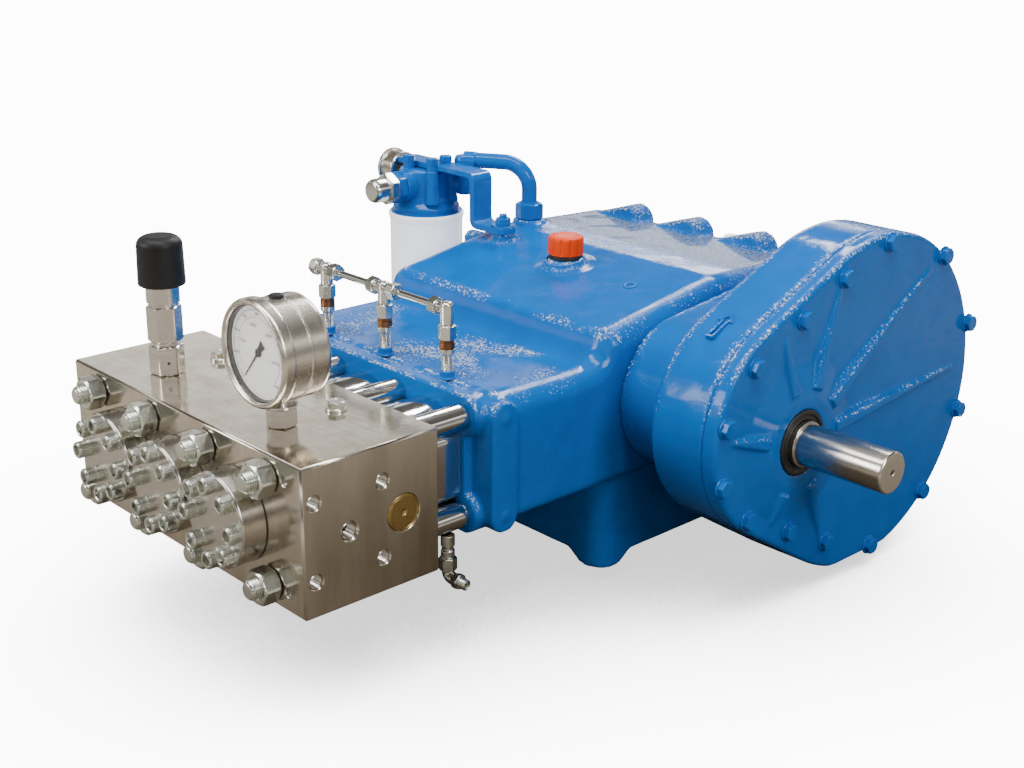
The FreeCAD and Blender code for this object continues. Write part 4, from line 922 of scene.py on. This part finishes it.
def make_dial_print(at):
    """Two scales, their numbers and the pointer, on the dial."""
    centre = (at[0], at[1] + DIAL_DEPTH, at[2])

    def spot(distance, degrees):
        angle = math.radians(degrees)
        return Vector((centre[0] + distance * math.cos(angle), centre[1],
                       centre[2] + distance * math.sin(angle)))

    def bar(surface, inner, outer, degrees, width):
        surface.plate([(inner, -width / 2), (outer, -width / 2), (outer, width / 2),
                       (inner, width / 2)], 0.0, 0.12, centre, "-Y", degrees)

    def arc(surface, inner, outer):
        steps = 90
        points = []
        for distance, order in ((inner, range(steps + 1)), (outer, range(steps, -1, -1))):
            for step in order:
                angle = math.radians(DIAL_ZERO - DIAL_SWEEP * step / steps)
                points.append((distance * math.cos(angle), distance * math.sin(angle)))
        surface.plate(points, 0.0, 0.1, centre, "-Y")

    black = Surface()
    red = Surface()
    for mark in range(81):
        degrees = DIAL_ZERO - DIAL_SWEEP * mark / 80
        long = mark % 10 == 0
        bar(black, 40.4, 43.6 if mark % 5 == 0 else 42.2, degrees, 0.9 if long else 0.45)
    arc(black, 40.0, 40.5)
    for mark in range(47):
        degrees = DIAL_ZERO - DIAL_SWEEP * mark / RED_FULL_SCALE
        long = mark % 10 == 0
        bar(red, 30.6 if long else 31.8, 33.4, degrees, 0.7 if long else 0.4)
    arc(red, 33.4, 33.8)
    red.piece("dial_red_scale", "print_red")
    black.plate([(-13, -4.6), (0, -2.2), (0, 2.2), (-13, 4.6)], 1.0, 1.6, centre, "-Y", POINTER_REST)
    black.plate([(-2, -1.3), (35.5, -0.4), (35.5, 0.4), (-2, 1.3)], 1.0, 1.6, centre, "-Y",
                POINTER_REST)
    black.turned(rounded([(0, 0), (4.2, 0), (4.2, 1.9, 0.6), (2.6, 2.6, 0.5), (0, 2.6)]), centre, "-Y",
                 0, 32)
    black.piece("dial_black_scale", "print_black")
    for index in range(9):
        degrees = DIAL_ZERO - DIAL_SWEEP * index / 8
        numeral(str(index * 200), spot(37.0, degrees), 4.6, "print_black", "dial_number_%d" % index)
    for index in range(5):
        degrees = DIAL_ZERO - DIAL_SWEEP * index * 10 / RED_FULL_SCALE
        numeral(str(index * 5000), spot(26.4, degrees), 5.0, "print_red", "dial_red_number_%d" % index)


def numeral(text, centre, size, material, name):
    """A plain number standing upright on the dial."""
    curve = bpy.data.curves.new(name, "FONT")
    curve.body = text
    curve.size = size * MM
    curve.align_x = "CENTER"
    curve.align_y = "CENTER"
    curve.extrude = 0.05 * MM
    curve.resolution_u = 3
    item = placed(name, evaluated(placed(name, curve)))
    item.matrix_world = Matrix.Translation((centre - Vector((0, 0.08, 0))) * MM) @ heading("-Y")
    return dress(item, material)


# Gear cover and drive shaft

# Bolts of the gear cover, as (Y, Z)
COVER_BOLTS = [(74, 367), (184, 334), (251, 242), (248, 136), (187, 48), (86, 9.5), (-2, 41), (-71, 75),
               (-143, 109), (-187, 158), (-186, 221), (-145, 275), (-71, 310), (-4, 342)]


def flanged_bolt(surface, at, axis, flats=17, head=9.0, flange=11.0):
    """A hexagon head on a small round flange."""
    turn = random.uniform(0, 60)
    surface.turned([(0, 0), (flange - 0.5, 0), (flange, 0.5), (flange, 1.8), (flange - 0.6, 2.3),
                    (flats * 0.5, 2.6)], at, axis, 0, 48, False)
    surface.turned([(0, 2.3), (flats * 0.46, 2.3)] + hex_profile(flats, head - 2.3, 2.3, bottom=False)
                   + [(0, head)], at, axis, turn, 72, False)


def make_gear_cover_trim():
    """The cover's bolts and the cast arrow that shows which way the shaft turns."""
    bolts = Surface()
    for place, up in COVER_BOLTS:
        flanged_bolt(bolts, (GEAR_COVER_FACE - 0.5, place, up), "+X")
    bolts.piece("gear_cover_bolts", "blue_fitting", sharp=28)
    arrow = Surface()
    arrow_place, arrow_lean = (297.6, -134.3, 303.7), (0, -0.407, 0.914)
    outer = [(-20, -4.5), (7, -4.5), (7, -10), (20, 0), (7, 10), (7, 4.5), (-20, 4.5)]
    inner = [(-17, -1.8), (9.6, -1.8), (9.6, -4.6), (15.4, 0), (9.6, 4.6), (9.6, 1.8), (-17, 1.8)]
    for index in range(len(outer)):
        after = (index + 1) % len(outer)
        arrow.plate([outer[index], outer[after], inner[after], inner[index]], -2.0, 1.7,
                    arrow_place, arrow_lean, 90)
    arrow.piece("cast_arrow", "blue_cover")


def make_shaft():
    """The bare shaft end with its centre hole, and the seal that it turns in."""
    end = (GEAR_COVER_FACE,) + SHAFT_LINE
    profile = rounded([(0, -63), (25, -63), (25, 13.4, 0.8), (22.5, 14.2, 0.4), (22.5, 115.5, 1.2),
                       (20.8, 117.0, 0.4), (3.6, 117.0, 0.3), (2.9, 115.6), (1.4, 111.5), (0, 110.0)])
    lathe("turned_shaft", profile, end, "+X", "shaft_steel", SHAFT, ("drive_shaft",), count=96)
    # A dark disc painted as the shade at the bottom of the centre hole
    lathe("shaft_centre_shade", [(0, 114.9), (2.9, 115.5), (2.9, 115.9), (0, 115.9)], end, "+X",
          "dark_gap_and_hole_shade", SHAFT, count=32)
    seal = rounded([(25.6, 0), (36, 0), (36, 9.0, 1.0), (34, 10.0, 0.6), (31.5, 10.0, 0.5),
                    (30.0, 8.4, 0.8), (27.8, 8.4, 0.6), (26.4, 9.6, 0.5), (25.6, 9.0), (25.6, 0)])
    lathe("shaft_seal_ring", seal, (GEAR_COVER_FACE - 1.5,) + SHAFT_LINE, "+X", "black_ring",
          nodes=("shaft_seal",), count=96)


# Oil filler, manifold and drain


def make_filler():
    """The orange filler cap with its grips, on a black ring and a flared neck."""
    at = FILLER_LINE + (304.0,)
    seal = rounded([(0, 0), (19.4, 0), (20, 0.8, 0.4), (20, 4.2, 0.6), (19.2, 5, 0.4), (0, 5)])
    lathe("filler_black_ring", seal, at, "+Z", "black_ring", nodes=("filler_seal",), count=64)
    flare = rounded([(21.5, 10), (24.0, 8.6, 1.0), (24.6, 6.0, 2), (27.0, 3.0, 4), (38.0, 0.4, 2),
                     (41.0, -1.5)], 5)
    Surface().turned(flare, FILLER_LINE + (295.0,), RAMP_NORMAL, count=72, caps=False).piece(
        "filler_neck_flare", "blue_casting")

    def grip(size):
        return lambda angle: size - 1.5 * max(0.0, math.cos(angle * 12)) ** 3

    cap = [(0, 5), (19.6, 5), (20.6, 5.5), (grip(21), 6.4), (grip(21), 22.4), (grip(20.7), 24.4),
           (20.0, 25.8), (18.6, 26.8), (16.0, 27.0), (15.4, 26.4), (14.2, 26.4), (13.4, 27.0), (0, 27.0)]
    Surface().turned(cap, count=144, caps=False).piece(
        "filler_cap_shell", "orange_cap", nodes=("filler_cap",), sharp=35, at=at)


def elbow_path(start, corner, end, radius):
    """Points of a bend from start, round a corner, to end."""
    steps = 8
    start, corner, end = Vector(start), Vector(corner), Vector(end)
    into = (start - corner).normalized()
    out = (end - corner).normalized()
    first, last = corner + into * radius, corner + out * radius
    arc = []
    for step in range(steps + 1):
        share = step / steps
        arc.append(first.lerp(corner, share).lerp(corner.lerp(last, share), share))
    return [start] + arc + [end]


def make_risers():
    """Three threaded risers over the housings, with stubs, copper rings and nuts."""
    zinc = Surface()
    rings = Surface()
    stubs = Surface()
    for across in PLUNGERS.values():
        at = (across, MANIFOLD_PLACE, BLOCK_TOP)
        stubs.turned(rounded([(0, 0), (10, 0, 2), (8, 2.0, 1), (8, 7.4, 0.8), (7, 8.4, 0.4), (0, 8.4)]),
                     at, "+Z", 0, 32, False)
        zinc.turned([(0, 8)] + thread_profile(6.0, 1.4, 8, 25) + [(5.6, 25), (7.0, 25.4), (8.3, 27),
                    (8.3, 31.6), (7.6, 32), (7.4, 32)], at, "+Z", 0, 40, False)
        rings.turned([(7.4, 31.8), (8.2, 32.2), (8.2, 38.6), (7.2, 39.0), (7.2, 40.0), (8.0, 40.3),
                      (8.0, 41.2), (6.0, 41.6)], at, "+Z", 0, 40, False)
        zinc.turned([(0, 41.5), (7.6, 41.5)] + hex_profile(17, 15, 41.5) + [(7.4, 56.5), (0, 56.5)], at,
                    "+Z", random.uniform(0, 60), 72, False)
    stubs.piece("riser_stubs", "blue_fitting")
    zinc.piece("riser_fittings", "zinc_plate", nodes=("oil_risers",), sharp=24)
    rings.piece("riser_copper_rings", "copper_ring", sharp=24)


def make_oil_line():
    """Two tees and an elbow on the risers, and the two tubes between them."""
    for name, node, across, arms in (("tee_left", "oil_tee_left", -PLUNGER_PITCH, (-1, 1)),
                                     ("tee_middle", "oil_tee_middle", 0.0, (-1, 1)),
                                     ("elbow", "oil_elbow", PLUNGER_PITCH, (-1,))):
        fitting = Surface()
        centre = (across, MANIFOLD_PLACE, MANIFOLD_HEIGHT)
        fitting.turned(rounded([(0, -17), (6.6, -17, 0.6), (7, -15, 0.5), (7, 5.5, 3.0), (4, 8.0, 1.5),
                                (0, 8.0)]), centre, "+Z", 0, 32, False)
        for side in arms:
            axis = "+X" if side > 0 else "-X"
            fitting.turned(rounded([(0, -3), (6.6, -3, 1), (6.6, 11.5, 0.6), (0, 11.5)]), centre, axis,
                           0, 32, False)
            fitting.turned([(0, 11.5), (7.4, 11.5)] + hex_profile(17, 11, 11.5)
                           + [(6.0, 22.5), (5.2, 21.8), (0, 21.8)], centre, axis,
                           random.uniform(0, 60), 72, False)
        fitting.piece("oil_fitting_" + name, "zinc_plate", nodes=(node,), sharp=24)
    for name, start in (("left", -80.0), ("right", 22.5)):
        tube = rounded([(0, -6), (4, -6), (4, 63.5), (0, 63.5)])
        lathe("oil_line_" + name, tube, (start, MANIFOLD_PLACE, MANIFOLD_HEIGHT), "+X", "chromed_steel",
              nodes=("oil_tube_" + name,), count=32)


def make_drain():
    """Elbow fitting hanging under the right housing."""
    zinc = Surface()
    at = DRAIN_LINE + (0.0,)
    corner = DRAIN_LINE + (54.2,)
    zinc.turned(rounded([(0, 76), (5.6, 76), (7.3, 78, 0.6), (7.3, 84, 0.5), (6.2, 85.5, 0.4),
                         (6.2, 88, 0.4), (7.4, 89.5, 0.5), (7.4, 101, 0.4), (0, 101)]), at, "+Z", 0, 40,
                False)
    zinc.turned([(0, 61.5), (7.4, 61.5)] + hex_profile(17, 14, 62) + [(6.0, 76.4), (0, 76.4)], at, "+Z",
                20, 72, False)
    path = elbow_path(DRAIN_LINE + (64.0,), corner, (174.0,) + corner[1:], 8)
    zinc.swept(path, 6.6, 28)
    zinc.turned([(0, 12), (7.4, 12)] + hex_profile(15, 8, 12) + [(5.4, 20), (5.4, 21)]
                + thread_profile(5.9, 1.5, 21, 29) + [(4.2, 30), (3.6, 29.2), (0, 27.5)],
                corner, "+X", 10, 72, False)
    zinc.piece("drain_elbow", "zinc_plate", nodes=("drain_fitting",), sharp=24)


# Oil filter


def make_canister():
    """The white canister and its gasket."""
    x, y = FILTER_LINE
    can = rounded([(0, 0), (40, 0, 2), (43, 2.4, 2), (46.4, 4.0, 3), (47.5, 9.0, 2), (47.5, 158, 0.6),
                   (48.2, 160.5, 0.5), (49.4, 166.0, 1.0), (49.4, 168.6, 1.2), (47.6, 169.8, 0.8),
                   (45.5, 168.6, 0.6), (0, 168.6)])
    lathe("canister_shell", can, (x, y, 142.0), "+Z", "white_enamel_glow", nodes=("filter_canister",), count=120)
    seal = [(43.0, 0), (46.3, 0), (46.6, 1.5), (46.3, 3.0), (43.0, 3.0), (43.0, 0)]
    lathe("canister_gasket", seal, (x, y, 310.4), "+Z", "blue_fitting", count=96)


def make_port_cap():
    """The capped plug in the port that faces the fluid end."""
    x, y = FILTER_LINE
    cap = Surface()
    cap.turned([(0, 0), (16.5, 0)] + hex_profile(36, 14, 0.0) + rounded([(15.6, 14), (14.6, 14.6),
               (14.6, 15.6), (15.5, 16.2), (15.5, 30.2, 3), (13.0, 35.0, 3), (0, 36.0)], 5),
               count=72, caps=False)
    cap.piece("filter_port_cap", "zinc_plate", nodes=("filter_port_plug",), sharp=24,
              at=(x, y - 56.0, FILTER_PORT_HEIGHT), axis="-Y")


def make_dirt_gauge():
    """The small gauge on the outer side of the head, with its stem and its vent."""
    x, y = FILTER_LINE
    gauge = rounded([(0, 0), (19.5, 0, 1), (22.5, 1.6, 1.2), (22.5, 20.8, 0.6), (25, 21.6, 0.6),
                     (25, 26.2, 1.0), (22.6, 27, 0.5), (21.8, 25.6, 0.3), (0, 25.6)], 5)
    rear = x - 44.0
    lathe("dirt_gauge_case", gauge, (rear, y, 359.0), "-X", "gauge_steel", nodes=("filter_gauge",),
          count=72)
    stem = Surface().turned([(0, 0), (7.5, 0)] + hex_profile(15, 8, 0.0) + [(5.5, 8), (5.5, 18),
                            (0, 18)], (rear - 0.5, y, 359.0), "+X", 0, 72, False)
    stem.piece("dirt_gauge_stem", "brass_disc", sharp=24)
    lathe("dirt_gauge_vent", [(3.4, -0.5), (3.4, 1.2), (0, 1.2)], (rear, y - 6.0, 374.0), "+X",
          "black_ring", count=24)


def make_filter_head():
    """The cast head: dome, bolt bosses, port and the outlet with its elbow."""
    x, y = FILTER_LINE
    port = (x, y, FILTER_PORT_HEIGHT)
    head = Surface()
    centre = (x, y, 0.0)
    head.turned(rounded([(0, 312.2), (43.4, 312.2, 1), (43.6, 319.5, 2), (40.6, 323.5, 3),
                         (37.0, 328.0, 3), (35.0, 334.0, 2), (34.5, 366.0, 2), (31.0, 369.9, 1.5),
                         (0, 369.9)], 5), centre, "+Z", 0, 72, False)
    for across, place in ((x - 5.0, y - 24.0), (x + 33.0, y - 17.0), (x + 30.0, y + 16.0)):
        head.turned(rounded([(0, 326), (10.5, 326, 3), (8.6, 336, 4), (8.2, 369, 1.5), (7, 370.4, 0.5),
                             (0, 370.4)], 5), (across, place, 0), "+Z", 0, 32, False)
    head.turned(rounded([(0, 30), (21, 30, 1), (20, 41, 2), (19, 44, 1), (0, 44)]), port, "-Y", 0, 48,
                False)
    head.turned([(0, 44), (17.5, 44)] + hex_profile(36, 12, 44.0) + [(16.5, 56), (0, 56)], port, "-Y",
                10, 72, False)
    outlet = Vector((41.0, 31.0, 0.0))
    elbow = (x + outlet.x, y + outlet.y, 0.0)
    head.turned(rounded([(0, 20), (13.5, 20, 1), (12.5, 48, 1), (0, 48)]), port, tuple(outlet.normalized()),
                0, 40, False)
    head.turned(rounded([(0, 335), (9, 335, 2), (13.5, 339, 3), (13.5, 381, 2.5), (11.5, 385.4, 1.0),
                         (0, 385.4)], 5), elbow, "+Z", 0, 48, False)
    head.turned(rounded([(0, 0), (12.6, 0), (12.6, 14.5, 1.2), (11.5, 16.6, 0.5), (0, 16.6)]),
                (elbow[0], elbow[1], 378.5), (74.0, 46.0, 0), 0, 40, False)
    head.piece("filter_head_casting", "blue_fitting", nodes=("filter_head",), sharp=30)


def make_filter_bracket():
    """The bent strap that carries the head, and the bolts at its two ends."""
    x, y = FILTER_LINE
    arm = Surface()
    strip = rounded([(-316, 371), (-316, 378, 1), (-166, 378, 12), (-166, 316, 6), (-128, 316),
                     (-128, 308.2), (-174, 308.2, 13), (-174, 371, 5), (-315.5, 371)], 6)
    arm.plate(strip, 0.0, 31.0, (0, y + 15.5, 0), "-Y")
    arm.turned([(0, 0), (15.5, 0), (15.5, 7.8), (0, 7.8)], BRACKET_FOOT + (308.2,), "+Z", 0, 48, False)
    arm.piece("filter_bracket_strap", "blue_fitting", nodes=("filter_bracket",), bevel=0.9)

    bolts = Surface()
    for across, place in ((x - 5.0, y - 24.0), (x + 33.0, y - 17.0), (x + 30.0, y + 8.0)):
        bolts.turned(rounded([(0, 369), (7.4, 369), (7.4, 380, 1), (0, 380)]), (across, place, 0), "+Z",
                     0, 32, False)
        bolts.turned([(0, 379), (7.0, 379)] + hex_profile(15, 7.4, 379, bottom=False) + [(0, 386.4)],
                     (across, place, 0.0), "+Z", random.uniform(0, 60), 72, False)
    foot = BRACKET_FOOT + (316.0,)
    bolts.turned(rounded([(0, 0), (14, 0), (14, 2, 0.6), (0, 2)]), foot, "+Z", 0, 40, False)
    bolts.turned([(0, 2), (8.0, 2)] + hex_profile(17, 9, 2) + [(5.0, 11), (5.0, 14.5), (4.0, 15.6),
                 (0, 15.6)], foot, "+Z", 17, 72, False)
    bolts.piece("bracket_bolts", "blue_fitting", sharp=28)


def make_pipe_union():
    """The nut that holds the oil pipe on the crankcase."""
    nut = Surface()
    nut.turned([(0, 0), (15.6, 0)] + hex_profile(32, 20, 0.0) + [(12.6, 20), (11.6, 22), (0, 22)],
               (-162.0, 34.0, 309.0), "+Z", 11, 72, False)
    nut.piece("oil_pipe_union", "blue_fitting", nodes=("oil_pipe_nut",), sharp=28)


# Trim of the castings


def make_casting_trim():
    """Small things on the castings: ramp plug, breather, bolts of the hidden covers."""
    trim = Surface()
    ramp_plug = (111.6, -68.5, 294.4)
    trim.turned(rounded([(7.6, -1), (7.6, 1.0, 0.6), (6.4, 1.4, 0.4), (5.2, 1.0, 0.4), (5.2, -0.4, 0.3),
                         (0, -0.4)]), ramp_plug, RAMP_NORMAL, 0, 40, False)
    rear_cover_face = 192.5
    for side in (-1, 1):
        for across, up in ((128.0, -55.0), (128.0, 55.0), (64.0, 57.0), (64.0, -57.0)):
            flanged_bolt(trim, (side * across, rear_cover_face, PLUNGER_HEIGHT + up), "+Y", 16, 9, 11)
    crank_cover = (-205.5, CRANK_LINE, 76, 6, 30, (16, 8, 10.5))
    pinion_cover = (-201.5, SHAFT_LINE, 36, 4, 45, (13, 7, 8.5))
    for face, line, circle, count, start, sizes in (crank_cover, pinion_cover):
        for step in range(count):
            angle = math.radians(360 / count * step + start)
            at = (face, line[0] + circle * math.cos(angle), line[1] + circle * math.sin(angle))
            flanged_bolt(trim, at, "-X", *sizes)
    trim.piece("casting_bolts_and_plugs", "blue_fitting", sharp=28)
    cap = rounded([(0, 0), (9, 0), (9, 4, 1.5), (6.5, 6.5, 2), (0, 7)])
    lathe("breather_button", cap, (61.0, 171.0, 300.0), "+Z", "white_enamel_glow", count=40)


# Scene


def keep_cad_finish():
    """Finishes of the nodes that show as they are."""
    finishes = {
        "rear_cover": "blue_cover", "crank_bearing_cover": "blue_cover",
        "pinion_bearing_cover": "blue_cover", "oil_pipe": "blue_fitting",
    }
    for node, material in finishes.items():
        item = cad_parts[node]
        item.data.materials.clear()
        item.data.materials.append(MATERIALS[material])


# The strength at which the ground behind the pump renders as plain white
WHITE_GROUND = 13.0

# How far the floor lies under the feet, in metres
FLOOR_DROP = 0.0165


def make_floor():
    """A pale floor: glowing bright to the eye with a soft shadow painted from occlusion, and dull in the
    metal's reflections.
    """
    mesh = bpy.data.meshes.new("floor")
    reach = 14.0
    mesh.from_pydata([(-reach, -reach, 0), (reach, -reach, 0), (reach, reach, 0), (-reach, reach, 0)],
                     [], [(0, 1, 2, 3)])
    floor = placed("floor", mesh)
    floor.location.z = -FLOOR_DROP
    material = bpy.data.materials.new("pale_floor")
    material.use_nodes = True
    tree = material.node_tree
    tree.nodes.clear()
    # The floor's shadow is painted: its glow for camera rays fades where the ambient occlusion is strong
    open_sky = put(tree, "ShaderNodeAmbientOcclusion", {"Distance": 0.45}, samples=8).outputs["AO"]
    glow_with_painted_shadow = spread(tree, open_sky, 0.35, 0.97, 1.3, WHITE_GROUND)
    lit = put(tree, "ShaderNodeEmission", {"Color": (1, 1, 1, 1), "Strength": glow_with_painted_shadow})
    place = object_place(tree)
    # For other rays the floor is darker near the pump and lighter further out
    far = spread(tree, vectors(tree, "LENGTH", place).outputs["Value"], 0.50, 1.25)
    tone = mixed(tree, far, (0.10, 0.082, 0.060, 1), (0.46, 0.42, 0.36, 1))
    dull = put(tree, "ShaderNodeBsdfDiffuse", {"Color": tone, "Roughness": 0.6})
    seen = put(tree, "ShaderNodeLightPath").outputs["Is Camera Ray"]
    both = put(tree, "ShaderNodeMixShader", {0: seen, 1: dull.outputs[0], 2: lit.outputs[0]})
    put(tree, "ShaderNodeOutputMaterial", {"Surface": both.outputs[0]})
    mesh.materials.append(material)


def make_camera():
    """The photograph's camera, solved from the edges of the fluid block."""
    azimuth, pitch, roll = math.radians(46.9), math.radians(19.41), math.radians(0.53)
    ahead = Vector((-math.sin(azimuth) * math.cos(pitch), math.cos(azimuth) * math.cos(pitch),
                    -math.sin(pitch)))
    level = Vector((math.cos(azimuth), math.sin(azimuth), 0))
    upright = level.cross(ahead)
    right = level * math.cos(roll) + upright * math.sin(roll)
    up = upright * math.cos(roll) - level * math.sin(roll)
    data = bpy.data.cameras.new("camera")
    data.lens = 52.80
    data.sensor_width = 36.0
    camera = placed("camera", data)
    turn = Matrix((right, up, -ahead)).transposed().to_4x4()
    camera.matrix_world = Matrix.Translation((1.2161, -1.2831, 0.7522)) @ turn
    bpy.context.scene.camera = camera


def make_light(name, at, aim, size, power):
    """A rectangular lamp at a place, turned to an aim, its power in watts."""
    data = bpy.data.lights.new(name, "AREA")
    data.shape = "RECTANGLE"
    data.size, data.size_y = size
    data.energy = power
    light = placed(name, data)
    light.location = at
    light.rotation_euler = (Vector(aim) - Vector(at)).to_track_quat("-Z", "Y").to_euler()


def make_studio():
    """Lamps for the long highlights, a banded room for the metal to mirror, and a white ground."""
    make_light("ceiling_strip_front", (0.2, -0.9, 2.3), (0, -0.3, 0.2), (2.8, 0.5), 52)
    make_light("ceiling_strip_rear", (-0.62, 1.5, 2.25), (0, 0, 0.2), (1.2, 0.5), 46)
    make_light("side_window", (2.9, -0.5, 1.7), (0.2, 0, 0.15), (1.0, 1.0), 34)
    make_light("front_window", (-1.2, -2.9, 1.5), (0, -0.4, 0.15), (1.2, 1.0), 46)
    make_light("far_window", (-2.7, 3.46, 1.31), (0.1, 0, 0.3), (1.3, 0.6), 15)
    world = bpy.data.worlds.new("studio")
    world.use_nodes = True
    tree = world.node_tree
    tree.nodes.clear()
    direction = put(tree, "ShaderNodeTexCoord").outputs["Generated"]
    up = put(tree, "ShaderNodeSeparateXYZ", {"Vector": direction}).outputs["Z"]
    ramp = put(tree, "ShaderNodeValToRGB", {"Fac": spread(tree, up, -1.0, 1.0)})
    # Height in the room, from straight down to straight up, and its brightness there
    stops = [(0.0, 0.10), (0.50, 0.16), (0.61, 0.45), (0.635, 1.5), (0.68, 1.5), (0.70, 0.12),
             (0.86, 0.16), (1.0, 0.75)]
    while len(ramp.color_ramp.elements) < len(stops):
        ramp.color_ramp.elements.new(0.5)
    for element, (place, value) in zip(ramp.color_ramp.elements, stops):
        element.position = place
        element.color = (value, value * 0.97, value * 0.92, 1)
    room = put(tree, "ShaderNodeBackground", {"Color": ramp.outputs[0], "Strength": 1.0})
    white = put(tree, "ShaderNodeBackground", {"Color": (1, 1, 1, 1),
                                                   "Strength": WHITE_GROUND})
    seen = put(tree, "ShaderNodeLightPath").outputs["Is Camera Ray"]
    both = put(tree, "ShaderNodeMixShader", {0: seen, 1: room.outputs[0], 2: white.outputs[0]})
    put(tree, "ShaderNodeOutputWorld", {"Surface": both.outputs[0]})
    bpy.context.scene.world = world


random.seed(7)
make_camera()
make_studio()
make_floor()
keep_cad_finish()
make_castings()
make_fluid_block()
make_covers()
make_studs()
make_housings()
make_block_plugs()
make_relief_valve()
make_gauge()
make_gear_cover_trim()
make_shaft()
make_filler()
make_risers()
make_oil_line()
make_drain()
make_canister()
make_port_cap()
make_dirt_gauge()
make_filter_head()
make_filter_bracket()
make_pipe_union()
make_casting_trim()
